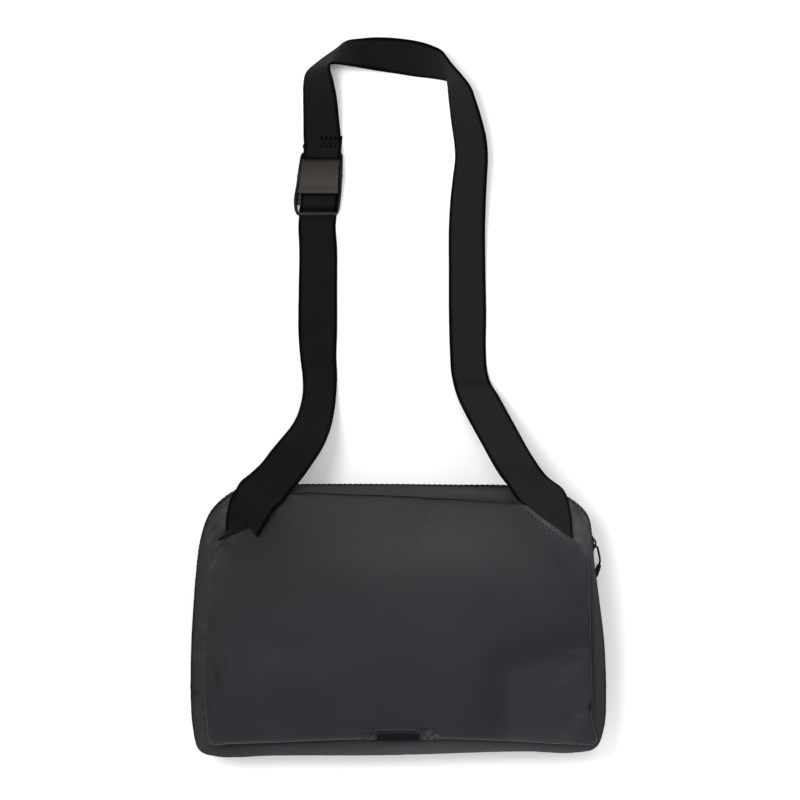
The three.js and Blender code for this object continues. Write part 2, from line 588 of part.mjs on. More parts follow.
function pullTab() {
  const half = PULL_TAB.width / 2;
  const cut = PULL_TAB.corner;
  const outline = [
    [0, -half + cut],
    [cut, -half],
    [PULL_TAB.length - cut, -half],
    [PULL_TAB.length, -half + cut],
    [PULL_TAB.length, half - cut],
    [PULL_TAB.length - cut, half],
    [cut, half],
    [0, half - cut],
  ];
  return extrude(outline, PULL_TAB.thick).translate(CORD_DIAMETER / 2, 0, -PULL_TAB.thick / 2);
}
const cordEnd = cordLine.getPoint(1);
const tabDown = vector(-PULL_TAB.lean, -1, -PULL_TAB.droop).normalize();
const tabSide = vector(0, 0, 1).cross(tabDown).normalize();
const tabFrame = new THREE.Group();
tabFrame.applyMatrix4(
  new THREE.Matrix4().makeBasis(tabDown, tabSide, tabDown.clone().cross(tabSide)).setPosition(cordEnd),
);
object.add(tabFrame);
add('zip_pull_tab', pullTab(), finish(WEBBING_BLACK, 0.6), tabFrame);

// Patch and light loop, laid on the front with a small clearance
function laidGrid(fromX, toX, columns, path) {
  return path.map(({ y, lift }) => {
    return Array.from({ length: columns + 1 }, (_, j) => {
      const x = THREE.MathUtils.lerp(fromX, toX, j / columns);
      return vector(x, y, frontHeight(x, y) + lift);
    });
  });
}
const patchPath = Array.from({ length: PATCH.rows + 1 }, (_, i) => {
  return { y: THREE.MathUtils.lerp(PATCH.toY, PATCH.fromY, i / PATCH.rows), lift: GAP };
});
const patchGrid = laidGrid(PATCH.fromX, PATCH.toX, PATCH.columns, patchPath);
add('loop_patch', wall(patchGrid, PATCH.thick), finish(CLOTH_GREY, 0.7));
const loopGrid = laidGrid(LIGHT_LOOP.fromX, LIGHT_LOOP.toX, LIGHT_LOOP.columns, LIGHT_LOOP_PATH);
add('light_loop', wall(loopGrid, LIGHT_LOOP.thick), finish(WEBBING_BLACK, 0.8));

// Buckle
const buckle = new THREE.Group();
buckle.position.set(BUCKLE.x, BUCKLE.y, 0);
buckle.rotation.z = THREE.MathUtils.degToRad(BUCKLE.turn);
buckle.updateMatrixWorld();
object.add(buckle);

// A side view, given along the buckle and up, extruded across it about its middle
function acrossBuckle(side, half) {
  const geometry = extrude(side.map(({ along, height }) => [along, height]), 2 * half);
  return geometry.translate(0, 0, -half).applyMatrix4(
    new THREE.Matrix4().makeBasis(vector(0, 1, 0), vector(0, 0, 1), vector(1, 0, 0)),
  );
}

function pinAcross(radius, half) {
  const geometry = new THREE.CylinderGeometry(radius, radius, 2 * half, PIVOT.sides);
  return geometry.rotateZ(Math.PI / 2).translate(0, PIVOT.along, PIVOT.height);
}

function buckleFrame() {
  const right = FRAME_OUTLINE.map(({ along, half }) => [half, along]);
  const left = FRAME_OUTLINE.map(({ along, half }) => [-half, along]).reverse();
  const tall = Math.max(...FRAME_SIDE.map(({ height }) => height));
  const widest = Math.max(...FRAME_OUTLINE.map((row) => row.half));
  const { half, from, to } = FRAME_WINDOW;
  const beyond = 1; // cutters reach past what they cut
  const low = FRAME_OUTLINE.at(-1).along - beyond;
  const high = FRAME_OUTLINE[0].along + beyond;
  let body = solid(extrude([...right, ...left], tall));
  body = body.intersect(solid(acrossBuckle(FRAME_SIDE, widest + beyond)));
  const cuts = [
    box(-half, half, from, to, BASE_PLATE.thick, tall + beyond),
    box(-half, half, from, BASE_PLATE.from, -beyond, BASE_PLATE.thick + beyond),
    box(-half, half, BASE_PLATE.to, to, -beyond, BASE_PLATE.thick + beyond),
    box(-half, half, low, from + GAP, -beyond, BAR_LOW.from),
    box(-half, half, low, from + GAP, BAR_LOW.to, tall + beyond),
    box(-half, half, to - GAP, high, -beyond, BAR_TOP.from),
    box(-half, half, to - GAP, high, BAR_TOP.to, tall + beyond),
    pinAcross(PIVOT.hole, PIVOT.reach + beyond),
  ];
  for (const cut of cuts) {
    body = body.subtract(solid(cut));
  }
  return geometryOf(body);
}
add('buckle_frame', buckleFrame(), finish(METAL_DARK, 0.35, 0.7), buckle);

function buckleLever() {
  const plate = acrossBuckle(LEVER_SIDE, LEVER_HALF).translate(0, PIVOT.along, PIVOT.height);
  return geometryOf(solid(plate).add(solid(pinAcross(PIVOT.pin, PIVOT.reach))));
}
add('buckle_lever', buckleLever(), finish(METAL_DARK, 0.35, 0.7), buckle);

// Straps
function inBuckle(rows, shift) {
  return rows.map(({ along, height }) => ({
    inner: buckle.localToWorld(vector(shift + LOOP_HALF, along, height)),
    outer: buckle.localToWorld(vector(shift - LOOP_HALF, along, height)),
  }));
}

function laidOut(rows) {
  return rows.map((row) => ({
    inner: vector(row.inX, row.inY, row.inZ),
    outer: vector(row.outX, row.outY, row.outZ),
  }));
}

function strap(lines) {
  const inner = new THREE.CatmullRomCurve3(lines.map((line) => line.inner));
  const outer = new THREE.CatmullRomCurve3(lines.map((line) => line.outer));
  const spans = (lines.length - 1) * STEPS_PER_ROW;
  const lie = vector(0, 0, STRAP_LIE);
  const grid = [];
  for (let i = 0; i <= spans; i += 1) {
    const from = inner.getPoint(i / spans).add(lie);
    const to = outer.getPoint(i / spans).add(lie);
    grid.push(
      Array.from({ length: STRAP_COLUMNS + 1 }, (_, j) => from.clone().lerp(to, j / STRAP_COLUMNS)),
    );
  }
  return wall(grid, WEBBING);
}
add('strap_main', strap([...inBuckle(SEWN_LOOP, 0), ...laidOut(MAIN_ROWS)]), finish(WEBBING_BLACK, 0.85));
const adjusterLines = [...laidOut(ADJUSTER_ROWS), ...inBuckle(ADJUSTER_IN_BUCKLE, ADJUSTER_SHIFT)];
add('strap_adjuster', strap(adjusterLines), finish(WEBBING_BLACK, 0.85));
add('anchor_webbing', strap(laidOut(ANCHOR_ROWS)), finish(WEBBING_BLACK, 0.85));

export default object;
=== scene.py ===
"""Looks of a soft handlebar bag that lies on its back, with its webbing shoulder strap spread out above it.

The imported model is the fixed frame. Every soft piece is a finer surface on the guiding lines that its solid
has, worked out as whole arrays in millimetres and put into its mesh in metres.
"""
import logging
import math
from dataclasses import dataclass, field
from enum import Enum, IntEnum
from typing import Callable

import bpy
import numpy as np
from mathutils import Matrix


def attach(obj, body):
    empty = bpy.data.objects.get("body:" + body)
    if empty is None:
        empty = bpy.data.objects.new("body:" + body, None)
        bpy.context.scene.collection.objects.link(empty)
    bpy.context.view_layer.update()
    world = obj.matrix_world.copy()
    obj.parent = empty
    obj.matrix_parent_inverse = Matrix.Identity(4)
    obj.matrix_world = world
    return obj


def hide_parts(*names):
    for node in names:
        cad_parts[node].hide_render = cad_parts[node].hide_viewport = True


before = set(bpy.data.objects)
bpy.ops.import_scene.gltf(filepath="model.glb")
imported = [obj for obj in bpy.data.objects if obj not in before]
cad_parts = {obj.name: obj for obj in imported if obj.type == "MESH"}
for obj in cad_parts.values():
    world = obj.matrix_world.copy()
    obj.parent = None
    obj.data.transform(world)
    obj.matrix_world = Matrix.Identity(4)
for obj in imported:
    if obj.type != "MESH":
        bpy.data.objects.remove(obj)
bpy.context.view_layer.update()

LOG = logging.getLogger("handlebar_bag")
Array = np.ndarray
Colour = tuple[float, float, float]
Place = tuple[float, float, float]
Span = tuple[float, float]
Piece = bpy.types.Object
Socket = bpy.types.NodeSocket
MM = 0.001
SMALL = 1e-9
SHORTEST_SPAN = 1e-4
STITCH_RISE = 0.1
UP = np.array([0.0, 0.0, 1.0])


class Body(Enum):
    """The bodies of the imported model."""

    BAG = "bag"
    LEVER = "lever"


class Slot(Enum):
    """The record's material slots."""

    CLOTH = "coated_cloth"
    BACK = "back_cloth"
    WEBBING = "webbing"
    ZIP = "zip_tape"
    METAL = "dark_metal"
    CORD = "cord"
    RUBBER = "rubber"


class Edge(IntEnum):
    """Columns of the table of the cloth's edges. Tones above 0 are paler than the finish, others darker;
    these tones are painted highlights and shade.
    """

    BEYOND = 1  # how far the front's edge lies beyond the seam line
    DROP = 2  # how far the gusset's edge lies below the front's
    FRONT = 3  # painted highlight and shade along the front's edge
    SEAM = 4  # painted shade along the gusset's edge, in the seam
    RIM = 5  # painted shade along the gusset's widest line
    OUTER = 6  # painted highlight on its outer half
    BODY = 7  # painted highlight and shade over its whole width
    CRUMPLE = 8  # how crumpled it is


# Curves and small sums


def unit(vectors: Array) -> Array:
    """Gives vectors the length 1 along the last axis."""
    return vectors / np.maximum(np.linalg.norm(vectors, axis=-1, keepdims=True), SMALL)


def ease(low: float, high: float, x: Array) -> Array:
    """Rises from 0 at low to 1 at high with level ends."""
    share = np.clip((x - low) / (high - low), 0.0, 1.0)
    return share * share * (3.0 - 2.0 * share)


def spline(points: Array, at: Array, closed: bool = False) -> Array:
    """Reads a smooth curve through rows of points at row numbers.

    Between two rows the curve is a cubic with the slopes of a centripetal Catmull-Rom curve: each slope
    weighs the chords on both sides of a row by the square roots of their lengths.

    Args:
        points: The rows that the curve passes through, one point each.
        at: Row numbers with fractions.
        closed: Whether the last row is followed by the first.

    Returns:
        One point for each row number.
    """
    count = len(points)
    if closed:
        here = np.floor(at).astype(int)
        rows = [points[(here + step) % count] for step in (-1, 0, 1, 2)]
    else:
        here = np.clip(np.floor(at).astype(int), 0, count - 2)
        longer = np.vstack([2 * points[0] - points[1], points, 2 * points[-1] - points[-2]])
        rows = [longer[here + 1 + step] for step in (-1, 0, 1, 2)]
    before, start, end, after = rows
    share = (at - here)[:, None]
    first, own, last = (
        np.maximum(np.sqrt(np.linalg.norm(b - a, axis=1, keepdims=True)), SHORTEST_SPAN)
        for a, b in ((before, start), (start, end), (end, after))
    )
    slope_start = ((start - before) / first - (end - before) / (first + own) + (end - start) / own) * own
    slope_end = ((end - start) / own - (after - start) / (own + last) + (after - end) / last) * own
    square, cube = share**2, share**3
    return (
        (2 * cube - 3 * square + 1) * start
        + (cube - 2 * square + share) * slope_start
        + (3 * square - 2 * cube) * end
        + (cube - square) * slope_end
    )


def ripple(u: Array, v: Array, seed: int, waves: int = 9) -> Array:
    """Soft unevenness between about -1 and 1.

    It is the sum of sine waves over the plane of u and v, each with its own drawn direction, pace and phase.

    Args:
        u: First coordinate, counted in the unevenness's own size.
        v: Second coordinate, of a shape that fits u.
        seed: Number that fixes the draw.
        waves: How many waves are summed.

    Returns:
        The height at each place.
    """
    draw = np.random.default_rng(seed)
    turn = draw.uniform(0, 2 * np.pi, waves)
    pace = draw.uniform(0.5, 1.7, waves)
    phase = draw.uniform(0, 2 * np.pi, waves)
    u, v = np.broadcast_arrays(u, v)
    angle = (u[..., None] * np.cos(turn) + v[..., None] * np.sin(turn)) * pace + phase
    return np.sin(angle).sum(-1) / math.sqrt(waves)


def lengths(points: Array) -> Array:
    """Length along a line of points, from 0 at its first point."""
    return np.concatenate([[0.0], np.cumsum(np.linalg.norm(np.diff(points, axis=0), axis=1))])


def resample(values: Array, along: Array, places: Array) -> Array:
    """Rows of values that are given at lengths along a line, read at other lengths."""
    return np.stack([np.interp(places, along, column) for column in values.T], axis=-1)


def turns(count: int) -> Array:
    """Angles of one full turn in equal steps."""
    return np.arange(count) / count * 2 * np.pi


def spots(x: Array, y: Array, table: Array) -> Array:
    """Soft spots on a plane: the sum of each spot's rise times exp(-a² - b²) on its own turned axes.

    Args:
        x: Places on the plane.
        y: Places on the plane, of the same shape.
        table: A row for each spot: its place, its reach along both axes, its turn in degrees and its rise.

    Returns:
        Heights or tones of the same shape.
    """
    total = np.zeros_like(x)
    for centre_x, centre_y, reach_x, reach_y, turn, rise in table:
        cos, sin = math.cos(math.radians(turn)), math.sin(math.radians(turn))
        a = ((x - centre_x) * cos + (y - centre_y) * sin) / reach_x
        b = ((y - centre_y) * cos - (x - centre_x) * sin) / reach_y
        total += rise * np.exp(-a * a - b * b)
    return total


def bands(y: Array, table: tuple[tuple[float, float, float], ...]) -> Array:
    """Soft bands: the sum of tone times exp(-((y - middle) / reach)²) over rows of middle, reach and tone."""
    return sum(tone * np.exp(-(((y - middle) / reach) ** 2)) for middle, reach, tone in table)


# Meshes


@dataclass
class Surfaces:
    """Grids of points gathered into one mesh, with surface coordinates and a tone for each point."""

    points: list[Array] = field(default_factory=list)
    faces: list[list[int]] = field(default_factory=list)
    flat: list[bool] = field(default_factory=list)
    coordinates: list[Array] = field(default_factory=list)
    edges: list[Array] = field(default_factory=list)
    count: int = 0

    def closed(
        self,
        grid: Array,
        ring: bool = False,
        loops: bool = True,
        coordinates: Array | None = None,
        edge: Array | float = 0.0,
    ) -> "Surfaces":
        """Adds one closed body given as a grid.

        Each row of the grid is a section. Neighbouring rows and columns are joined by quads, open ends get a
        flat cap, and lines that stop at a middle get a fan there. Faces are turned outwards by the sign of
        the volume.

        Args:
            grid: Points by section and place in the section.
            ring: Whether the last section joins the first.
            loops: Whether the last place of a section joins its first.
            coordinates: Two surface coordinates for each point, in millimetres.
            edge: A tone for all points or for each, 0 as the finish is, below it darker and above it paler;
                on most pieces it holds painted highlights and shade.

        Returns:
            Itself.
        """
        rows, columns = grid.shape[:2]
        flat_points = grid.reshape(-1, 3)
        i, j = np.meshgrid(
            np.arange(rows if ring else rows - 1), np.arange(columns if loops else columns - 1), indexing="ij"
        )
        here, below, after = i * columns, (i + 1) % rows * columns, (j + 1) % columns
        quads = np.stack([here + j, here + after, below + after, below + j], axis=-1).reshape(-1, 4)
        corner = flat_points[quads] - flat_points.mean(0)
        volume = np.einsum("ij,ij->", corner[:, 0], np.cross(corner[:, 1], corner[:, 2]))
        volume += np.einsum("ij,ij->", corner[:, 0], np.cross(corner[:, 2], corner[:, 3]))
        faces = quads.tolist()
        flat = [False] * len(faces)
        if loops and not ring:
            faces += [list(range(columns))[::-1], list(range((rows - 1) * columns, rows * columns))]
            flat += [True, True]
        if ring and not loops:
            hubs = np.stack([grid[:, 0].mean(0), grid[:, -1].mean(0)])
            first = np.arange(rows) * columns
            nearby = np.roll(first, -1)
            start = np.stack([first, nearby, np.full(rows, rows * columns)], axis=1)
            end = np.stack([nearby, first, np.full(rows, rows * columns + 1)], axis=1)
            end[:, :2] += columns - 1
            faces += start.tolist() + end.tolist()
            flat += [False] * (2 * rows)
            flat_points = np.vstack([flat_points, hubs])
        if volume < 0:
            faces = [face[::-1] for face in faces]
        extra = len(flat_points) - rows * columns
        given = np.zeros((rows, columns, 2)) if coordinates is None else coordinates
        tone_and_painted_light = np.broadcast_to(edge, (rows, columns))
        self.points.append(flat_points)
        self.faces += [[index + self.count for index in face] for face in faces]
        self.flat += flat
        middles = np.stack([given[:, 0].mean(0), given[:, -1].mean(0)])[:extra]
        self.coordinates.append(np.vstack([given.reshape(-1, 2), middles]))
        self.edges.append(np.concatenate([tone_and_painted_light.ravel(), np.zeros(extra)]))
        self.count += len(flat_points)
        return self

    def piece(self, name: str, finish: "Finish", body: Body = Body.BAG, replaces: str | None = None) -> Piece:
        """Makes the gathered surfaces one object that rides on a body.

        Args:
            name: The piece's name.
            finish: What it is dressed in.
            body: The body that it moves with.
            replaces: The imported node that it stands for, if any.

        Returns:
            The new object.
        """
        points = np.vstack(self.points) * MM
        mesh = bpy.data.meshes.new(name)
        mesh.from_pydata(points.tolist(), [], self.faces)
        mesh.polygons.foreach_set("use_smooth", ~np.array(self.flat))
        corner = np.zeros(len(mesh.loops), np.int32)
        mesh.loops.foreach_get("vertex_index", corner)
        layer = mesh.uv_layers.new(name="surface")
        layer.data.foreach_set("uv", np.vstack(self.coordinates)[corner].astype(np.float32).ravel())
        tone_and_painted_light = mesh.attributes.new("edge", "FLOAT", "POINT")
        tone_and_painted_light.data.foreach_set("value", np.concatenate(self.edges).astype(np.float32))
        mesh.materials.append(finish.material())
        mesh.update()
        made = bpy.data.objects.new(name, mesh)
        bpy.context.scene.collection.objects.link(made)
        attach(made, body.value)
        if replaces:
            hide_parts(replaces)
        LOG.info("%s: %d faces", name, len(self.faces))
        return made


def normals_of(grid: Array) -> Array:
    """Normals of a grid of points: the cross product of its slopes along rows and columns."""
    return unit(np.cross(np.gradient(grid, axis=0), np.gradient(grid, axis=1)))


def thick(grid: Array, wall: float, steps: int = 5) -> Array:
    """Turns a sheet into loops with a thickness and round edges.

    Each row becomes its own points, half a circle round its last edge, the same points one wall further along
    the normals, and half a circle back round its first edge.

    Args:
        grid: The sheet's points by row and column.
        wall: Thickness along the normals. A negative one goes to the other side.
        steps: Points on each round edge.

    Returns:
        The loops, with 2 * (columns + steps) points each.
    """
    far = grid + normals_of(grid) * wall
    across = unit(np.gradient(grid, axis=1))
    bend = np.linspace(0, np.pi, steps + 2)[1:-1]

    def edge(column: int, side: float, angles: Array) -> Array:
        """Half a circle round one edge of every row."""
        middle = (grid[:, column] + far[:, column])[:, None] / 2
        radius = (grid[:, column] - far[:, column])[:, None] / 2
        out = across[:, column][:, None] * side * abs(wall) / 2
        return middle + radius * np.cos(angles)[None, :, None] + out * np.sin(angles)[None, :, None]

    return np.concatenate([grid, edge(-1, 1, bend), far[:, ::-1], edge(0, -1, bend[::-1])], axis=1)


def round_loops(values: Array, steps: int = 5) -> Array:
    """A sheet's values by row and column carried round the loops of thick(), with its edges' values there."""
    last, first = np.repeat(values[:, -1:], steps, axis=1), np.repeat(values[:, :1], steps, axis=1)
    return np.concatenate([values, last, values[:, ::-1], first], axis=1)


def loop_coordinates(u: Array, v: Array, steps: int = 5) -> Array:
    """Surface coordinates for the loops of thick(): u along the rows, v across the columns."""
    across = round_loops(v, steps)
    return np.stack([np.broadcast_to(u[:, None], across.shape), across], axis=-1)


def rounded(width: Array, height: Array, radius: float, steps: int = 5) -> Array:
    """Rounded rectangles about their middle.

    Each corner is a quarter circle of the radius about the corner point moved inwards by the radius.

    Args:
        width: Full widths, one for each section.
        height: Full heights, one for each section.
        radius: Corner radius, cut to just under half the shorter side.
        steps: Points on each corner.

    Returns:
        Points by section, place and axis.
    """
    width, height = np.broadcast_arrays(np.atleast_1d(width), np.atleast_1d(height))
    round_off = np.minimum(radius, 0.49 * np.minimum(width, height))[:, None]
    angles = np.concatenate([np.linspace(q, q + np.pi / 2, steps) for q in np.arange(4) * np.pi / 2])
    sign_x = np.repeat([1, -1, -1, 1], steps)
    sign_y = np.repeat([1, 1, -1, -1], steps)
    x = sign_x * (width[:, None] / 2 - round_off) + round_off * np.cos(angles)
    y = sign_y * (height[:, None] / 2 - round_off) + round_off * np.sin(angles)
    return np.stack([x, y], axis=-1)


def tube(path: Array, radius: float, sides: int = 10) -> Array:
    """A round tube: rings about a path, set across it by a frame that turns no more than the path does.

    Args:
        path: The points of its middle.
        radius: Its radius.
        sides: Points on each ring.

    Returns:
        Points by ring and side.
    """
    along = unit(np.gradient(path, axis=0))
    side = np.zeros_like(path)
    guide = np.array([1.0, 0.0, 0.0]) if abs(along[0, 0]) < 0.9 else np.array([0.0, 1.0, 0.0])
    for k in range(len(path)):
        guide = guide - along[k] * (guide @ along[k])
        guide = guide / np.linalg.norm(guide)
        side[k] = guide
    other = np.cross(along, side)
    angle = turns(sides)
    return path[:, None] + radius * (
        side[:, None] * np.cos(angle)[None, :, None] + other[:, None] * np.sin(angle)[None, :, None]
    )


@dataclass(frozen=True)
class Thread:
    """Stitches of one size: small capsules laid along a line, each sunk at both ends."""

    length: float
    pitch: float
    radius: float
    sides: int = 6
    stations: int = 7
    sunk: float = 0.35

    def sew(self, into: Surfaces, path: Array, up: Array) -> None:
        """Adds a row of stitches.

        A stitch is a tube about a low arch: its height above the line is the radius times half a sine wave,
        and its radius shrinks to about a quarter at its ends.

        Args:
            into: The surfaces that take the stitches.
            path: The line that is sewn.
            up: The surface's normal, one for the whole line or one for each of its points.
        """
        along, up = lengths(path), np.broadcast_to(up, path.shape)
        starts = np.arange(0.0, max(along[-1] - self.length, SMALL), self.pitch)
        share = np.linspace(0, 1, self.stations)
        angle = turns(self.sides)
        arch = np.sin(np.pi * share)
        for start in starts:
            places = start + share * self.length
            line = resample(path, along, places)
            normal = unit(resample(up, along, places))
            side = unit(np.cross(unit(np.gradient(line, axis=0)), normal))
            line = line + normal * (self.radius * (arch - self.sunk))[:, None]
            wide = self.radius * (0.25 + 0.75 * np.sqrt(arch + 0.02))[:, None, None]
            ring = side[:, None] * np.cos(angle)[:, None] + normal[:, None] * np.sin(angle)[:, None]
            twist = np.stack(np.broadcast_arrays(places[:, None], angle[None, :]), axis=-1)
            into.closed(line[:, None] + wide * ring, coordinates=twist)


# Finishes


class Nodes:
    """The shader nodes of one material."""

    def __init__(self, name: str) -> None:
        """Starts a material with an empty principled shader."""
        self.made = bpy.data.materials.new(name)
        self.made.use_nodes = True
        self.tree = self.made.node_tree
        self.shader = self.tree.nodes["Principled BSDF"]

    def add(self, kind: str, **settings: object) -> bpy.types.Node:
        """Adds a node and sets its own properties."""
        node = self.tree.nodes.new(kind)
        for name, value in settings.items():
            setattr(node, name, value)
        return node

    def join(self, source: Socket, target: Socket) -> None:
        """Links two sockets."""
        self.tree.links.new(source, target)

    def feed(self, name: str, source: Socket) -> None:
        """Links a socket to one of the shader's own."""
        self.join(source, self.shader.inputs[name])

    def calc(self, operation: str, first: object, second: object = 0.0) -> Socket:
        """A Math node of two sockets or numbers.

        Args:
            operation: The node's operation.
            first: A socket or a number.
            second: A socket or a number.

        Returns:
            The node's result.
        """
        node = self.add("ShaderNodeMath", operation=operation)
        for socket, value in zip(node.inputs, (first, second)):
            if isinstance(value, (int, float)):
                socket.default_value = value
            else:
                self.join(value, socket)
        return node.outputs[0]

    def total(self, *terms: tuple[Socket, float], more: float = 0.0) -> Socket:
        """Sockets times their weights, added up.

        Args:
            terms: A socket and its weight each.
            more: A number that is added.

        Returns:
            The last node's result.
        """
        weighed = [
            socket if weight == 1 else self.calc("MULTIPLY", socket, weight) for socket, weight in terms
        ]
        result = weighed[0]
        for term in weighed[1:]:
            result = self.calc("ADD", result, term)
        return self.calc("ADD", result, more) if more else result

    def wave(self, coordinate: Socket, period: float) -> Socket:
        """A sine wave of a coordinate with the given period."""
        return self.calc("SINE", self.calc("MULTIPLY", coordinate, 2 * math.pi / period))

    def where(self) -> Socket:
        """Object coordinates, in metres."""
        return self.add("ShaderNodeTexCoord").outputs["Object"]

    def split(self, vector: Socket) -> tuple[Socket, Socket]:
        """The first two parts of a vector."""
        node = self.add("ShaderNodeSeparateXYZ")
        self.join(vector, node.inputs[0])
        return node.outputs[0], node.outputs[1]

    def surface(self) -> tuple[Socket, Socket]:
        """The piece's own surface coordinates, in millimetres."""
        return self.split(self.add("ShaderNodeUVMap", uv_map="surface").outputs[0])

    def edge(self) -> Socket:
        """The piece's own edge value."""
        return self.add("ShaderNodeAttribute", attribute_name="edge").outputs["Fac"]

    def noise(self, where: Socket, size: float, detail: float = 2.0) -> Socket:
        """Noise about 0.5 whose lumps have the given size in metres."""
        node = self.add("ShaderNodeTexNoise")
        node.inputs["Scale"].default_value = 1.0 / size
        node.inputs["Detail"].default_value = detail
        self.join(where, node.inputs["Vector"])
        return node.outputs[0]

    def tint(
        self, share: Socket, low: Colour, high: Colour, ends: Span = (0.0, 1.0)
    ) -> Socket:
        """A colour between two as share goes from one end to the other."""
        ramp = self.add("ShaderNodeValToRGB")
        for element, colour, end in zip(ramp.color_ramp.elements, (low, high), ends):
            element.color = (*colour, 1.0)
            element.position = end
        self.join(share, ramp.inputs[0])
        return ramp.outputs[0]

    def product(self, first: Socket, second: Socket) -> Socket:
        """Two colours multiplied channel by channel."""
        node = self.add("ShaderNodeVectorMath", operation="MULTIPLY")
        self.join(first, node.inputs[0])
        self.join(second, node.inputs[1])
        return node.outputs[0]

    def bump(self, height: Socket, depth: float, strength: float) -> None:
        """Dents the shader's normal by a height that goes from 0 to 1 over the given depth in metres."""
        node = self.add("ShaderNodeBump")
        node.inputs["Strength"].default_value = strength
        node.inputs["Distance"].default_value = depth
        self.join(height, node.inputs["Height"])
        self.feed("Normal", node.outputs[0])

    def set(self, **values: object) -> None:
        """Sets the shader's own sockets. An underscore in a name is a space."""
        for name, value in values.items():
            self.shader.inputs[name.replace("_", " ")].default_value = value


def shaded(colour: Colour, factor: float) -> Colour:
    """A colour made lighter or darker by a factor."""
    return tuple(channel * factor for channel in colour)


_MADE: dict[str, bpy.types.Material] = {}


@dataclass(frozen=True)
class Finish:
    """What every finish has: a name, the record's slot, a colour with its range of tones, and a roughness."""

    name: str
    slot: Slot
    colour: Colour
    roughness: float
    darkest: float = 0.6
    palest: float = 1.4

    def material(self) -> bpy.types.Material:
        """The finish's material, made once."""
        if self.name not in _MADE:
            nodes = Nodes(self.name)
            nodes.set(Roughness=self.roughness)
            self.dress(nodes)
            _MADE[self.name] = nodes.made
        return _MADE[self.name]

    def toned(self, nodes: Nodes, share: Socket) -> Socket:
        """The finish's colour, from its darkest to its palest as share goes from 0 to 1."""
        return nodes.tint(share, shaded(self.colour, self.darkest), shaded(self.colour, self.palest))

    def dress(self, nodes: Nodes) -> None:
        """Joins the finish's own nodes."""
        raise NotImplementedError


@dataclass(frozen=True)
class CoatedCloth(Finish):
    """Coated plain weave: a fine lattice of threads under a matt film, a little mottled in tone.

    Its hue drifts from upper to lower down the bag, and back to upper past its left end.
    """

    darkest: float = 0.3
    palest: float = 3.0
    thread: float = 0.6
    film: float = 0.0016
    cloud: float = 0.045
    grain: float = 0.0007
    mottle: float = 0.05
    depth: float = 0.00005
    gloss: float = 0.2
    upper: Colour = (1.02, 1.03, 0.88)
    lower: Colour = (0.975, 1.0, 1.045)
    left_end: float = -0.093

    def dress(self, nodes: Nodes) -> None:
        """The weave is the product of two sine waves, one along each surface coordinate."""
        u, v = nodes.surface()
        where = nodes.where()
        x, y = nodes.split(where)
        weave = nodes.calc("MULTIPLY", nodes.wave(u, self.thread), nodes.wave(v, self.thread))
        film, cloud = nodes.noise(where, self.film), nodes.noise(where, self.cloud, 3.0)
        grain, mottle = nodes.noise(where, self.grain), nodes.noise(where, self.mottle, 1.0)
        # The edge value brings each piece's painted highlights and shade into the colour.
        tone = nodes.total((cloud, 0.1), (grain, 0.05), (nodes.edge(), 0.26), more=0.184)
        far_left = nodes.calc("MAXIMUM", nodes.calc("SUBTRACT", self.left_end, x), 0.0)
        drift = nodes.total((x, 2.2), (y, -8.0), (mottle, 1.0), (far_left, -60.0), more=0.28)
        hue = nodes.tint(drift, self.upper, self.lower, (0.35, 0.65))
        nodes.feed("Base Color", nodes.product(self.toned(nodes, tone), hue))
        nodes.feed("Roughness", nodes.total((film, 0.16), more=self.roughness - 0.08))
        nodes.set(Specular_IOR_Level=self.gloss)
        nodes.bump(nodes.total((weave, 0.35), (film, 1.0)), self.depth, 0.6)


@dataclass(frozen=True)
class Webbing(Finish):
    """Woven strap: cords along its length crossed by a slanting weft, with rough fibres."""

    darkest: float = 0.08
    palest: float = 3.2
    cord: float = 1.15
    weft: float = 0.9
    slant: float = 0.8
    fibre: float = 0.0005
    cloud: float = 0.02
    depth: float = 0.00016
    gloss: float = 0.06

    def dress(self, nodes: Nodes) -> None:
        """The cords are sine ridges across the strap, and the weft a sine that leans from cord to cord."""
        u, v = nodes.surface()
        where = nodes.where()
        weft = nodes.wave(nodes.total((u, 1.0), (v, self.slant)), self.weft)
        raised = nodes.total((nodes.wave(v, self.cord), 0.3), (weft, 0.25))
        fibre, cloud = nodes.noise(where, self.fibre), nodes.noise(where, self.cloud)
        # The edge value brings the straps' painted highlights and shade into the colour.
        tone = nodes.total((raised, 0.16), (fibre, 0.2), (cloud, 0.16), (nodes.edge(), 1.0), more=0.115)
        nodes.feed("Base Color", self.toned(nodes, tone))
        nodes.set(Specular_IOR_Level=self.gloss, Sheen_Weight=0.03, Sheen_Roughness=0.5)
        nodes.bump(nodes.total((raised, 1.0), (fibre, 0.3)), self.depth, 0.7)


@dataclass(frozen=True)
class DarkMetal(Finish):
    """Dark plating over pressed metal: fine brushed lines, a soft cloudy gloss, and painted highlights and
    shade from the edge value.
    """

    darkest: float = 0.1
    palest: float = 4.0
    metallic: float = 0.55
    brush: float = 0.00012
    cloud: float = 0.006
    speck: float = 0.0006

    def dress(self, nodes: Nodes) -> None:
        """The brushed lines are noise stretched across the buckle, and the painted highlights and shade
        follow the edge value.
        """
        where = nodes.where()
        stretch = nodes.add("ShaderNodeMapping")
        stretch.inputs["Scale"].default_value = (0.06, 1.0, 1.0)
        nodes.join(where, stretch.inputs["Vector"])
        lines = nodes.noise(stretch.outputs[0], self.brush * 3)
        cloud, speck = nodes.noise(where, self.cloud, 3.0), nodes.noise(where, self.speck)
        # The edge value brings in each piece's tone, with painted highlights and shade on the buckle.
        tone = nodes.total((cloud, 0.12), (speck, 0.08), (nodes.edge(), 0.8), more=0.13)
        nodes.feed("Base Color", self.toned(nodes, tone))
        nodes.feed("Roughness", nodes.total((lines, 0.2), more=self.roughness - 0.1))
        nodes.set(Metallic=self.metallic)
        nodes.bump(lines, self.brush * 0.2, 0.4)


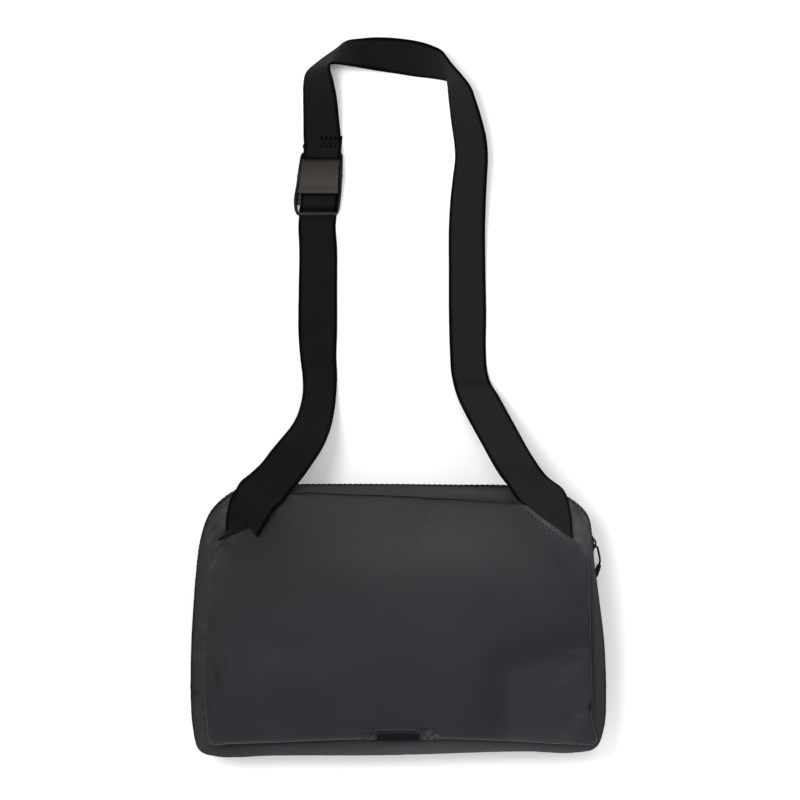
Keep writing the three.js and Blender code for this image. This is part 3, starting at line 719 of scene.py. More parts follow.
@dataclass(frozen=True)
class Fibre(Finish):
    """Thread, cord and zip coil: a twisted strand whose turns show as slanting bumps."""

    turn: float = 0.9
    fibre: float = 0.0004
    depth: float = 0.00005
    gloss: float = 0.3

    def dress(self, nodes: Nodes) -> None:
        """The twist is a sine of the length along the strand plus the angle round it."""
        u, v = nodes.surface()
        twist = nodes.wave(nodes.total((u, 1.0), (v, self.turn / math.pi)), self.turn)
        tone = nodes.total((twist, 0.25), (nodes.noise(nodes.where(), self.fibre), 1.0))
        nodes.feed("Base Color", self.toned(nodes, tone))
        nodes.set(Specular_IOR_Level=self.gloss)
        nodes.bump(tone, self.depth, 0.6)


@dataclass(frozen=True)
class Moulded(Finish):
    """Moulded rubber or nylon with a fine pebble grain."""

    darkest: float = 0.7
    grain: float = 0.0005

    def dress(self, nodes: Nodes) -> None:
        """Colour and grain follow two sizes of noise."""
        where = nodes.where()
        pebble, cloud = nodes.noise(where, self.grain), nodes.noise(where, self.grain * 12)
        nodes.feed("Base Color", self.toned(nodes, nodes.total((pebble, 0.5), (cloud, 0.5))))
        nodes.bump(pebble, self.grain * 0.1, 0.5)


@dataclass(frozen=True)
class PaleFloor(Finish):
    """A plain pale studio floor with a trace of unevenness."""

    darkest: float = 0.99
    palest: float = 1.0
    cloud: float = 0.1

    def dress(self, nodes: Nodes) -> None:
        """The colour varies by a hundredth over the width of a hand."""
        nodes.feed("Base Color", self.toned(nodes, nodes.noise(nodes.where(), self.cloud)))
        nodes.set(Specular_IOR_Level=0.0)


CLOTH_FINISH = CoatedCloth("coated_cloth_grey", Slot.CLOTH, (0.0177, 0.0192, 0.0225), 0.43, gloss=0.3)
# The gussets' cloth is the front's coated cloth set paler and without gloss; its paler colour is painted
# light, in place of the sheen that lights the front.
SIDE_FINISH = CoatedCloth(
    "side_cloth_grey",
    Slot.CLOTH,
    (0.0281, 0.0283, 0.0283),
    0.7,
    gloss=0.0,
    upper=(1.03, 1.0, 0.97),
    lower=(0.98, 1.0, 1.01),
)
BACK_FINISH = CoatedCloth("back_cloth_grey", Slot.BACK, (0.016, 0.0165, 0.0172), 0.68, gloss=0.15)
STRAP_FINISH = Webbing("strap_webbing", Slot.WEBBING, (0.0066, 0.006, 0.0055), 0.85)
LOOP_FINISH = Webbing("loop_webbing", Slot.WEBBING, (0.0048, 0.0056, 0.0074), 0.8)
TAPE_FINISH = Webbing(
    "zip_tape_weave", Slot.ZIP, (0.008, 0.008, 0.0085), 0.75, cord=0.55, weft=0.5, depth=0.00006
)
COIL_FINISH = Fibre("zip_coil_nylon", Slot.ZIP, (0.01, 0.01, 0.011), 0.4, gloss=0.5)
THREAD_FINISH = Fibre("grey_thread", Slot.CLOTH, (0.055, 0.057, 0.059), 0.7)
BLACK_THREAD_FINISH = Fibre("black_thread", Slot.WEBBING, (0.0012, 0.0012, 0.0012), 0.9, gloss=0.02)
DARK_THREAD_FINISH = Fibre("dark_thread", Slot.WEBBING, (0.008, 0.0078, 0.0076), 0.7, gloss=0.15)
CORD_FINISH = Fibre("pull_cord_braid", Slot.CORD, (0.0022, 0.0022, 0.0026), 0.85, gloss=0.05, turn=0.7)
FRAME_FINISH = DarkMetal("buckle_frame_plating", Slot.METAL, (0.008, 0.0076, 0.0072), 0.42, metallic=0.4)
LEVER_FINISH = DarkMetal("buckle_lever_plating", Slot.METAL, (0.0255, 0.0214, 0.0182), 0.45, metallic=0.3)
RUBBER_FINISH = Moulded("pull_tab_rubber", Slot.RUBBER, (0.003, 0.003, 0.0036), 0.6)
FLOOR_FINISH = PaleFloor("pale_floor", Slot.CLOTH, (0.95, 0.95, 0.95), 0.9)


# Studio


@dataclass(frozen=True)
class Lamp:
    """A round soft light that faces the floor straight below it: its place, diameter and power in watts."""

    name: str
    place: Place
    size: float
    power: float
    glossy: bool = False

    def hang(self) -> None:
        """Adds the light to the scene. The camera doesn't see it, and reflections only if it is glossy."""
        data = bpy.data.lights.new(self.name, "AREA")
        data.shape = "DISK"
        data.size = self.size
        data.energy = self.power
        made = bpy.data.objects.new(self.name, data)
        made.location = self.place
        made.visible_camera = False
        made.visible_glossy = self.glossy
        bpy.context.scene.collection.objects.link(made)


@dataclass
class Studio:
    """Camera straight above, soft light from high on the left, and a plain pale floor."""

    camera_height: float = 2.0
    view_width: float = 0.4444
    view_middle: float = 0.1222
    sensor_width: float = 36.0
    floor_half: float = 4.0
    floor_depth: float = 0.0001
    floor_cells: int = 8
    lamps: tuple[Lamp, ...] = (
        Lamp("key", (-0.55, 0.4, 1.75), 0.6, 16.0),
        Lamp("fill", (0.0, -1.1, 0.7), 0.7, 3.5),
        Lamp("sheen", (0.1, 0.43, 1.95), 0.4, 5.2, glossy=True),
    )
    sky: float = 0.95

    def camera(self) -> None:
        """Sets the camera over the middle of the picture, looking straight down with +Y up."""
        data = bpy.data.cameras.new("camera")
        data.sensor_width = self.sensor_width
        data.lens = data.sensor_width * self.camera_height / self.view_width
        made = bpy.data.objects.new("camera", data)
        made.location = (0.0, self.view_middle, self.camera_height)
        bpy.context.scene.collection.objects.link(made)
        bpy.context.scene.camera = made

    def lights(self) -> None:
        """Hangs the matt key light, a weak fill and the light of the cloth's sheen, under an even sky."""
        for lamp in self.lamps:
            lamp.hang()
        world = bpy.data.worlds.new("sky")
        world.use_nodes = True
        light = world.node_tree.nodes["Background"].inputs
        light["Color"].default_value = (1.0, 1.0, 1.0, 1.0)
        light["Strength"].default_value = self.sky
        world.cycles_visibility.glossy = False
        bpy.context.scene.world = world
        bpy.context.scene.view_settings.view_transform = "Standard"

    def floor(self) -> None:
        """Lays the floor just under the bag's back."""
        side = np.linspace(-self.floor_half, self.floor_half, self.floor_cells + 1)
        x, y = np.meshgrid(side, side, indexing="ij")
        points = np.stack([x, y, np.full_like(x, -self.floor_depth)], axis=-1).reshape(-1, 3)
        i, j = np.meshgrid(np.arange(self.floor_cells), np.arange(self.floor_cells), indexing="ij")
        near = (i * len(side) + j).ravel()
        far = near + len(side)
        mesh = bpy.data.meshes.new("floor")
        mesh.from_pydata(points.tolist(), [], np.stack([near, far, far + 1, near + 1], axis=1).tolist())
        mesh.materials.append(FLOOR_FINISH.material())
        made = bpy.data.objects.new("floor", mesh)
        bpy.context.scene.collection.objects.link(made)


# The bag's guiding lines, counterclockwise from the bottom's middle: the widest line's x and y, and the front
# seam's x, y and z that belong to it
OUTLINE = np.array([
    (0, -71.7, 0, -60.5, 53), (35, -70.9, 33, -61, 53.5), (70, -70.4, 68, -62.4, 53.5),
    (94, -70.7, 94, -63.8, 53), (107, -67.5, 105.6, -63.2, 51.5), (111.5, -57, 103.9, -51, 52.5),
    (113, -38, 104.2, -38, 53.5), (112, -12, 103.8, -12, 54.5), (109, 10, 103.4, 10, 55),
    (106.5, 30, 102.8, 30, 54), (105.4, 46, 99.5, 40.5, 53), (103.3, 59, 92.4, 48.2, 52.5),
    (95.4, 67.2, 80.5, 57, 53),
    (82, 73.6, 69.5, 64.6, 54.5), (60, 75.6, 56, 66.3, 55.5), (30, 75.9, 29, 68, 56), (0, 76.2, 0, 69.6, 56),
    (-30, 76.3, -29, 70.6, 56), (-58, 76.2, -55, 71.3, 55.5), (-84, 75.6, -69, 68.5, 54.5),
    (-97, 68.7, -81, 58.5, 53), (-104.8, 60.2, -93, 48.5, 52.5), (-109, 48, -101, 40.5, 53),
    (-111.5, 30, -104.2, 29, 54), (-113, 10, -104.6, 10, 55), (-114.3, -12, -105, -12, 54.5),
    (-114.6, -38, -105.4, -36, 53), (-113.2, -57, -104.4, -54, 50.5), (-109.7, -69.2, -102.8, -63.8, 50.5),
    (-99, -73, -92, -63.8, 51), (-70, -72.8, -68, -62.8, 53), (-35, -72.1, -33, -61.3, 53.5),
], float)

# Soft hollows and swellings of the front: place, reach along its own turned axes, turn in degrees and rise
DENTS = np.array([
    (97, -56, 8, 9, 30, 0.4), (-100, -27, 6, 9, 0, -1), (-62, -12, 30, 8, -4, -0.6),
    (-20, 30, 50, 20, 0, 0.8), (-92, 18, 46, 44, 0, -2.2), (-70, -52, 50, 14, 0, -0.8),
    (30, 42, 36, 16, 0, 0.5), (72, -12, 44, 22, 0, -1.0),
], float)

# Finer creases of the front: both ends, half width and rise
CREASES = np.array([
    (101, -18, 88, -22, 2.6, -0.5), (101, -26, 86, -33, 2.4, 0.4), (100, -52, 88, -44, 2.6, 0.45),
    (-103, -22, -96, -24, 1.6, -0.5), (-103, -28, -95, -29, 1.5, 0.45), (-103, -34, -97, -33, 1.6, -0.5),
    (-101.5, 32, -96.5, 39, 1.2, 0.4), (103, -11, 92, -13, 1.4, -0.5), (103, -44, 95, -49, 1.4, -0.5),
    (-90, -9, -88, -39, 3.0, -0.35), (46, -60, 50, -46, 2.4, 0.4), (60, -62, 58, -54, 2.2, -0.4),
    (-84, -60, -78, -48, 4.0, -0.35), (-40, -60, -36, -50, 3.5, 0.25), (84, 40, 96, 30, 3.0, -0.35),
], float)

# Straight sides of the front: a place on each, and the direction out of it in degrees
SIDES = np.array([
    (104.5, 0, 0), (-105.8, 0, 180), (0, 70.2, 87), (0, -61.8, -90), (86, 53.4, 52), (-85.5, 55, 131),
], float)

# The cloth's edges round the outline: the row, and what the columns of Edge say; the tone columns are painted
# highlights and shade
EDGES = np.array([
    (0, -0.5, 1.9, 0.9, -0.7, 0, 2.1, -0.4, 0.1), (3, -0.5, 1.9, 0.8, -0.7, 0, 1.9, -0.35, 0.1),
    (4.2, -0.4, 1.9, 0.0, -0.7, -0.5, 0.6, -0.1, 0.1), (5.5, -0.8, 1.9, -0.2, -0.9, -0.9, 0.1, 0.05, 0.05),
    (7, -1.3, 1.9, -0.2, -0.9, -0.9, 0.2, 0.15, 0.05), (9, -1.3, 1.9, 0.1, -0.8, -0.9, 0.4, 0.3, 0.1),
    (10.5, -0.9, 1.9, 0.6, -0.3, -0.8, 0, 1.2, 0.7), (12, -0.75, 1.9, 1.7, -0.3, -1.4, 0, 2.2, 0.9),
    (13, -0.5, 1.9, 1.3, -0.4, -0.7, 0, 1.5, 1.0), (13.6, 0.2, 1.9, -0.8, -1.6, -0.5, 0, 0.8, 0.3),
    (16, 0.35, 1.9, -1, -1.2, -0.5, 0.3, 0.2, 0.05), (18.4, 0.35, 1.9, -1, -1.2, -0.5, 0.1, 0.1, 0.05),
    (19.4, -0.4, 1.9, 0.1, -0.5, -0.8, 0, 0.5, 0.6), (20.5, -0.75, 1.2, 0, -0.1, -1.0, 0, 0.2, 0.7),
    (21.6, -0.75, 0.4, 0.2, 0, -1.0, 0, 0, 0.5), (22.6, -0.75, 0.3, 0.5, 0, -1.0, 0, -0.15, 0.15),
    (24, -0.75, 0.3, 0, 0, -1.1, 0, -0.14, 0.1), (26, -0.75, 0.3, -0.2, 0, -1.1, 0, -0.28, 0.2),
    (28, -0.75, 1.2, 0.2, -0.4, -0.6, 0.3, -0.1, 0.3), (29, -0.5, 1.9, 1.3, -0.7, 0, 0.8, -0.45, 0.2),
    (30, -0.5, 1.9, 0.9, -0.8, 0, 1.3, -0.5, 0.1), (32, -0.5, 1.9, 0.9, -0.7, 0, 2.0, -0.45, 0.1),
], float)

# Painted highlights and shade on the front: place, reach along its turned axes, turn in degrees and tone
PAINTED_LIGHT_SPOTS = np.array([
    (0, -48, 40, 18, 0, 0.1), (-94, 22, 22, 36, 0, -0.22), (96, 22, 16, 30, 0, -0.2),
    (-62, 52, 26, 18, 0, -0.2), (10, 5, 40, 24, 0, 0.1), (28, 42, 55, 16, 0, 0.4),
    (96, -51, 4, 8, -35, 0.4), (-100, 34, 12, 18, 0, -0.2),
    (50, -40, 9, 22, 0, -0.15), (76, -15, 26, 8, 0, -0.08), (79, 55, 11, 1.4, -39, 1.6),
    (103, -43, 1.3, 3, -20, -1.2), (-100.5, 34.5, 4, 0.9, 55, 0.7), (-99, -27, 1.6, 6, 8, -0.5),
], float)

# Corners where the front's edge hangs down or stands up: place, reach both ways, turn in degrees and rise
CORNERS = np.array([
    (103, -64, 20, 20, 0, 0.4), (-104, -64, 20, 20, 0, -3.0), (94, 48, 20, 20, 0, -1.2),
    (-95, 48, 20, 20, 0, -2.6),
], float)


@dataclass(frozen=True)
class Pillow:
    """The front's lower right, a smooth step lower than the rest, with a painted highlight inside its edges.
    """

    left: float = 59.0
    top: float = -20.0
    slope: float = 0.25
    slope_x: float = 75.0
    width: float = 20.0
    depth: float = 1.8
    # These three fields set its painted highlight
    pale: float = 0.14
    pale_below: Span = (-1.0, 5.0)
    pale_right: Span = (-3.0, 3.0)

    def below(self, x: Array, y: Array) -> Array:
        """How far places lie below its slanting upper edge."""
        return self.top + self.slope * (x - self.slope_x) - y

    def sunk(self, x: Array, y: Array) -> Array:
        """How far places are sunk: a smooth step from the left times one from above."""
        return self.depth * ease(-self.width, 0.0, x - self.left) * ease(-self.width, 0.0, self.below(x, y))

    def tone(self, x: Array, y: Array) -> Array:
        """Its painted highlight, which rises within a few millimetres of its edges."""
        return self.pale * ease(*self.pale_below, self.below(x, y)) * ease(*self.pale_right, x - self.left)


@dataclass
class BagLines:
    """The guiding lines of the bag's shell, read by row numbers of the outline."""

    cloth: float = 1.6
    gap: float = 0.3
    middle_z: float = 29.0
    back_rim: float = 4.0
    back_inset: float = 5.0
    back_flat: float = 0.86
    half_bow: float = math.radians(50)
    crest: float = 54.5
    crown: float = 6.6
    crown_reach: float = 26.0
    crown_power: float = 14.0
    edge_power: float = 10.0
    edge_lean: float = 0.018
    dent_power: float = 8.0
    back_welt: float = 0.6
    unevenness: float = 0.16
    unevenness_size: float = 16.0
    crease_start: Span = (-0.25, 0.3)
    crease_end: Span = (0.6, 1.3)
    pucker: float = 0.3
    pucker_pace: float = 5.5
    pucker_reach: float = 0.035
    pucker_rise: float = 0.006
    centre: Span = (0.0, -2.0)
    rows: int = len(OUTLINE)
    pillow: Pillow = Pillow()

    def middle(self, row: Array) -> Array:
        """The widest line of the gusset."""
        flat = spline(OUTLINE[:, :2], row, closed=True)
        return np.column_stack([flat, np.full(len(flat), self.middle_z)])

    def seam(self, row: Array) -> Array:
        """The front seam."""
        return spline(OUTLINE[:, 2:], row, closed=True)

    def outward(self, row: Array) -> Array:
        """Level directions out of the bag, square to the widest line."""
        step = 0.003
        along = self.middle(row + step) - self.middle(row - step)
        return unit(np.column_stack([along[:, 1], -along[:, 0], np.zeros(len(row))]))

    def at_edge(self, row: Array, column: Edge) -> Array:
        """One column of the table of edges at places along the outline, with an axis to spare."""
        return np.interp(np.mod(row, self.rows), EDGES[:, 0], EDGES[:, column])[:, None]

    def front_edge(self, row: Array) -> Array:
        """The front's edge: the seam line moved outwards."""
        return self.seam(row) + self.outward(row) * self.at_edge(row, Edge.BEYOND)

    def painted_light(self, x: Array, y: Array) -> Array:
        """Tone of the front's painted highlights and shade, and of the pillow's painted highlight."""
        return spots(x, y, PAINTED_LIGHT_SPOTS) + self.pillow.tone(x, y)

    def back(self, row: Array) -> Array:
        """The back seam: the widest line moved in and down."""
        line = self.middle(row) - self.outward(row) * self.back_inset
        line[:, 2] = self.back_rim
        return line

    def bow_share(self, bow: Array) -> Array:
        """Shares of the way from the seam to the widest line: (cos bh - cos h) / (1 - cos h) at bow b."""
        seam = math.cos(self.half_bow)
        return (np.cos(bow * self.half_bow) - seam) / (1 - seam)

    def gusset(self, row: Array, bow: Array) -> Array:
        """Points of the gusset's round section.

        The section is an arc of twice the half bow. Points go from the seam to the widest line by the bow's
        share, and their height goes with the sine of the angle, bow times the half bow.

        Args:
            row: Places along the outline.
            bow: Places across, from -1 at the back seam to 1 at the front seam.

        Returns:
            Points by row and bow.
        """
        rise = np.sin(bow * self.half_bow) / math.sin(self.half_bow)
        front, back, middle = self.seam(row), self.back(row), self.middle(row)
        drop = self.at_edge(row, Edge.DROP)
        inset = self.cloth + self.gap
        upper = (bow > 0)[None, :, None]
        edge = np.where(upper, front[:, None], back[:, None])
        edge_z = np.where(upper[..., 0], front[:, None, 2] - drop, back[:, None, 2] + inset)
        points = edge + (middle[:, None] - edge) * self.bow_share(bow)[None, :, None]
        points[..., 2] = self.middle_z + rise[None, :] * np.abs(edge_z - self.middle_z)
        return points

    def dents(self, x: Array, y: Array) -> Array:
        """Height of the front's hollows, swellings, pillow and creases.

        A crease is its rise times exp(-d²) with the distance d from its line in half widths, and fades out
        towards both ends.

        Args:
            x: Places on the front.
            y: Places on the front, of the same shape.

        Returns:
            Heights of the same shape.
        """
        total = spots(x, y, DENTS) - self.pillow.sunk(x, y)
        for from_x, from_y, to_x, to_y, half, rise in CREASES:
            span = np.array([to_x - from_x, to_y - from_y])
            length = np.linalg.norm(span)
            along = ((x - from_x) * span[0] + (y - from_y) * span[1]) / length**2
            off = ((y - from_y) * span[0] - (x - from_x) * span[1]) / length
            fade = ease(*self.crease_start, along) * (1 - ease(*self.crease_end, along))
            total += rise * np.exp(-((off / half) ** 2)) * fade
        return total

    def swell(self, x: Array, y: Array) -> Array:
        """How far the front has risen to its crown, from about 0 at its sides to 1.

        For each straight side of the front, a factor 1 - exp(-d / crown_reach) grows with the distance d from
        it. The factors are multiplied, which leaves no ridge along the diagonals.

        Args:
            x: Places on the front.
            y: Places on the front, of the same shape.

        Returns:
            Shares of the same shape.
        """
        total = np.ones_like(x)
        for side_x, side_y, turn in SIDES:
            angle = math.radians(turn)
            inside = (side_x - x) * math.cos(angle) + (side_y - y) * math.sin(angle)
            total *= 1 - np.exp(-np.maximum(inside, 0) / self.crown_reach)
        return total

    def ground(self, x: Array, y: Array) -> Array:
        """Height that the crown stands on: a plane that leans with y, and the front's corners."""
        return self.crest + self.edge_lean * y + spots(x, y, CORNERS)

    def front_height(self, x: Array, y: Array, ring: Array, seam: Array) -> Array:
        """Heights of the front.

        The crown's swell stands on the ground height. What both miss of the seam is taken off, weighed by
        ring to the edge power and the crown power. Dents and ripples fade out at the seam.

        Args:
            x: Places on the front.
            y: Places on the front, of the same shape.
            ring: Shares of the way from the panel's middle to the seam.
            seam: The seam's point beyond each place.

        Returns:
            Heights of the same shape as x.
        """
        rest = self.swell(seam[..., 0], seam[..., 1]) * ring**self.crown_power
        missed = seam[..., 2] - self.ground(seam[..., 0], seam[..., 1])
        z = self.ground(x, y) + missed * ring**self.edge_power
        z = z + self.crown * (self.swell(x, y) - rest)
        uneven = self.unevenness * ripple(x / self.unevenness_size, y / self.unevenness_size, 3)
        return z + (self.dents(x, y) + uneven) * (1 - ring**self.dent_power)

    def front(self, row: Array, ring: Array) -> Array:
        """Points of the front.

        Lines run from the panel's middle at ring 0 to the seam at ring 1. Close to the seam, puckers of the
        stitching add a small height that changes along it.

        Args:
            row: Places along the outline.
            ring: Places from the middle to the seam.

        Returns:
            Points by row and ring.
        """
        seam = self.front_edge(row)
        x = self.centre[0] + (seam[:, :1] - self.centre[0]) * ring
        y = self.centre[1] + (seam[:, 1:2] - self.centre[1]) * ring
        beyond = np.repeat(seam[:, None], len(ring), axis=1)
        z = self.front_height(x, y, np.broadcast_to(ring, x.shape), beyond)
        near = np.exp((ring - 1) / self.pucker_reach) * (1 - np.exp((ring - 1) / self.pucker_rise))
        pucker = self.pucker * near * ripple(row * self.pucker_pace, row * 0, 5)[:, None]
        return np.stack([x, y, z + pucker], axis=-1)

    def front_at(self, x: Array, y: Array) -> Array:
        """Points of the front at given places.

        The ray from the panel's middle through a place gives the row by its angle, and the ring is the share
        of the way to the seam.

        Args:
            x: Places on the front.
            y: Places on the front, of the same shape.

        Returns:
            Points of the front, with x and y as given.
        """
        rows = np.linspace(0, self.rows, 4001)
        rim = self.front(rows, np.array([1.0]))[:, 0, :2] - np.array(self.centre)
        angle = np.unwrap(np.arctan2(rim[:, 1], rim[:, 0]))
        reach = np.hypot(rim[:, 0], rim[:, 1])
        offset = np.stack([x - self.centre[0], y - self.centre[1]], axis=-1)
        wanted = np.arctan2(offset[..., 1], offset[..., 0])
        wanted = angle[0] + np.mod(wanted - angle[0], 2 * np.pi)
        ring = np.minimum(1.0, np.hypot(offset[..., 0], offset[..., 1]) / np.interp(wanted, angle, reach))
        row = np.interp(wanted, angle, rows)
        seam = resample(self.front_edge(rows), rows, row)
        return np.stack([x, y, self.front_height(x, y, ring, seam)], axis=-1)


# Ripples whose product crumples the gusset: size along it, lean and pace across it, and step of the seed
CRUMPLES = ((1.7, 5.0, 9.0, 2), (2.3, -6.0, 11.0, 5))


@dataclass
class Shell:
    """The bag's cloth shell: front, back, and the gusset in three pieces round the zip."""

    lines: BagLines
    zip_from: float = 9.4
    zip_to: float = 23.25
    zip_bow: float = 0.19
    tuck: float = 0.06
    tuck_depth: float = 0.12
    steps_per_row: int = 16
    front_rings: int = 90
    back_rings: int = 45
    inside_rings: int = 12
    lip_steps: int = 6
    first_ring: float = 0.015
    edge_reach: float = 0.012
    back_tone: float = 0.2
    calm_ends: float = 0.6
    wave: float = 0.32
    wave_size: float = 15.0
    crumple: float = 1.5
    crumple_rise: float = 0.25
    crumple_painted_shade: float = 0.5
    pucker: float = 0.16
    pucker_pace: float = 0.55
    pucker_reach: float = 0.07
    # Reaches of the painted shade along the seams, wider near the top right, and of the painted shade on the
    # widest line
    seam_shade_reach: float = 0.045
    wide_seam_shade_row: float = 14.2
    wide_seam_shade: float = 0.12
    rim_bow: float = 0.14
    rim_reach: float = 0.24

    def panel(
        self, points: Callable[[Array, Array], Array], count: int, wall: float, toned: float
    ) -> Surfaces:
        """A panel with its wall.

        Lines run from the middle over the outside to the edge, round the edge in half a circle, and back
        inside.

        Args:
            points: Gives the outside's points by row and ring.
            count: How many rings it has, closer together towards the edge.
            wall: Height of the inside above the outside, negative on the front.
            toned: How strongly it takes the front's painted highlights and shade.

        Returns:
            The panel's surfaces.
        """
        row = np.arange(self.lines.rows * self.steps_per_row) / self.steps_per_row
        rings = 1 - np.linspace(math.sqrt(1 - self.first_ring), 0, count) ** 2
        outside, through = points(row, rings), np.array([0, 0, wall])
        spread = count // self.inside_rings
        edge, inside = outside[:, -1:], outside[:, ::spread] + through
        bend = np.linspace(0, np.pi, self.lip_steps + 2)[1:-1, None]
        out = self.lines.outward(row)[:, None] * abs(wall) / 2
        lip = edge + through / 2 * (1 - np.cos(bend)) + out * np.sin(bend)
        grid = np.concatenate([outside, lip, edge + through, inside[:, ::-1]], axis=1)
        near = np.concatenate([rings, np.ones(self.lip_steps + 1), rings[::spread][::-1]])
        # Painted highlight and shade along the front's edge, and the painted light spots; the back takes them
        # more weakly, by back_tone.
        reach = self.edge_reach * (1 + np.maximum(self.lines.at_edge(row, Edge.BODY), 0))
        tone = self.lines.at_edge(row, Edge.FRONT) * np.exp((near - 1) / reach)
        tone = toned * (tone + self.lines.painted_light(grid[..., 0], grid[..., 1]))
        return Surfaces().closed(grid, ring=True, loops=False, coordinates=grid[..., :2], edge=tone)

    def front(self) -> Piece:
        """The crowned front with its dents, creases and puckered edge."""
        made = self.panel(self.lines.front, self.front_rings, -self.lines.cloth, 1.0)
        return made.piece("front_cloth", CLOTH_FINISH, replaces="front_panel")

    def back_points(self, row: Array, ring: Array) -> Array:
        """Points of the back: level inside its flat share, then turned up to its rim by a square.

        Args:
            row: Places along the outline.
            ring: Places from the middle to the rim.

        Returns:
            Points by row and ring.
        """
        rim = self.lines.back(row) + self.lines.outward(row) * self.lines.back_welt
        x = self.lines.centre[0] + (rim[:, :1] - self.lines.centre[0]) * ring
        y = self.lines.centre[1] + (rim[:, 1:2] - self.lines.centre[1]) * ring
        turned = np.maximum(0, (ring - self.lines.back_flat) / (1 - self.lines.back_flat)) ** 2
        z = np.broadcast_to(self.lines.back_rim * turned, x.shape)
        return np.stack([x, y, z], axis=-1)

    def back(self) -> Piece:
        """The flat back with its turned-up rim."""
        made = self.panel(self.back_points, self.back_rings, self.lines.cloth, self.back_tone)
        return made.piece("back_cloth", BACK_FINISH, replaces="back_panel")

    def crumpled(self, row: Array, along: Array, share: Array, seed: int) -> Array:
        """How the gusset's cloth is crumpled: the product of two fine ripples that lean to different sides.

        Args:
            row: Places along the outline.
            along: Lengths along the widest line at these rows.
            share: Shares of the way across.
            seed: Fixes the ripples.

        Returns:
            The crumple by row and share.
        """
        total = self.crumple * self.lines.at_edge(row, Edge.CRUMPLE)
        for size, lean, pace, step in CRUMPLES:
            total = total * ripple(along[:, None] / size + share * lean, share * pace, seed + step)
        return total

    def tones(self, row: Array, bow: Array, side: Array) -> Array:
        """Painted light and shade of the gusset: shade along its edges and on its widest line, highlight on
        its outer half, and both over its whole width.

        Args:
            row: Places along the outline.
            bow: Places across.
            side: Shares of the way in from the nearer edge at these places.

        Returns:
            Tones by row and bow.
        """
        reach = self.seam_shade_reach + self.wide_seam_shade * np.exp(-((row - self.wide_seam_shade_row) ** 2))[:, None]
        tone = self.lines.at_edge(row, Edge.SEAM) * np.exp(-side / reach)
        tone += self.lines.at_edge(row, Edge.RIM) * np.exp(-(((bow - self.rim_bow) / self.rim_reach) ** 2))
        tone += self.lines.at_edge(row, Edge.OUTER) * self.lines.bow_share(bow)
        return tone + self.lines.at_edge(row, Edge.BODY)

    def gusset(self, from_row: float, to_row: float, bow: Array, name: str, node: str, seed: int) -> Piece:
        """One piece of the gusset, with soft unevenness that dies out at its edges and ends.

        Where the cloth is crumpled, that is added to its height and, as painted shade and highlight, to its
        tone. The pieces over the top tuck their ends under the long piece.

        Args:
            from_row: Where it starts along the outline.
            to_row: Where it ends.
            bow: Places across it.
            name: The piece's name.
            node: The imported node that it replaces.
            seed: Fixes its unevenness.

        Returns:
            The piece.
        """
        row = np.linspace(from_row, to_row, int((to_row - from_row) * self.steps_per_row) + 1)
        grid = self.lines.gusset(row, bow)
        facing = self.facing(grid)
        share = (bow - bow[0]) / (bow[-1] - bow[0])
        side = np.minimum(share, 1 - share)
        inside = np.minimum(row - from_row, to_row - row)[:, None]
        ends = ease(0.0, self.calm_ends, inside)
        along = lengths(self.lines.middle(row))
        crumple = self.crumpled(row, along, share, seed) * ends
        wave = self.wave * ripple(along[:, None] / self.wave_size, share * 3.0, seed)
        pucker = self.pucker * ripple(along * self.pucker_pace, along * 0, seed + 1)[:, None]
        rise = wave + self.crumple_rise * crumple + pucker * np.exp(-side / self.pucker_reach)
        rise = rise * np.sin(np.pi * share) ** 0.7 * ends
        grid = grid - facing * normals_of(grid) * rise[..., None]
        if to_row - from_row < self.lines.rows / 2:
            tucked = self.tuck_depth * (1 - np.minimum(1, inside / (2 * self.tuck)))
            grid = grid - facing * normals_of(grid) * tucked[..., None]
        loops = thick(grid, -self.lines.cloth * facing, self.lip_steps)
        width = np.broadcast_to(share * lengths(grid[0])[-1], grid.shape[:2])
        # The tone adds painted shade and highlight: the gusset's own, and that of its crumples.
        tone = self.tones(row, bow, side) + self.crumple_painted_shade * crumple
        made = Surfaces().closed(
            loops,
            coordinates=loop_coordinates(along, width, self.lip_steps),
            edge=round_loops(tone, self.lip_steps),
        )
        return made.piece(name, SIDE_FINISH, replaces=node)

    def facing(self, grid: Array) -> float:
        """1 where a gusset grid's normals point out of the bag, else -1."""
        middle = np.array([*self.lines.centre, self.lines.middle_z])
        return 1.0 if np.einsum("ijk,ijk->", normals_of(grid), grid - middle) > 0 else -1.0

    def build(self) -> None:
        """Makes the shell's pieces."""
        self.front()
        self.back()
        full, upper = np.linspace(-1, 1, 41), np.linspace(self.zip_bow, 1, 21)
        around = self.zip_from + self.lines.rows
        low, high = self.zip_from - self.tuck, self.zip_to + self.tuck
        self.gusset(self.zip_to, around, full, "base_gusset_cloth", "gusset_base", 11)
        self.gusset(low, high, upper, "top_front_cloth", "gusset_top_front", 21)
        self.gusset(low, high, -upper[::-1], "top_back_cloth", "gusset_top_back", 31)


# The slider's outline along the zip: the place and half its width there
SLIDER_HALF = np.array([(-4, 1.2), (-3.4, 2.1), (-1.6, 3.05), (2.4, 3.05), (3.5, 2.5), (4, 1.6)])


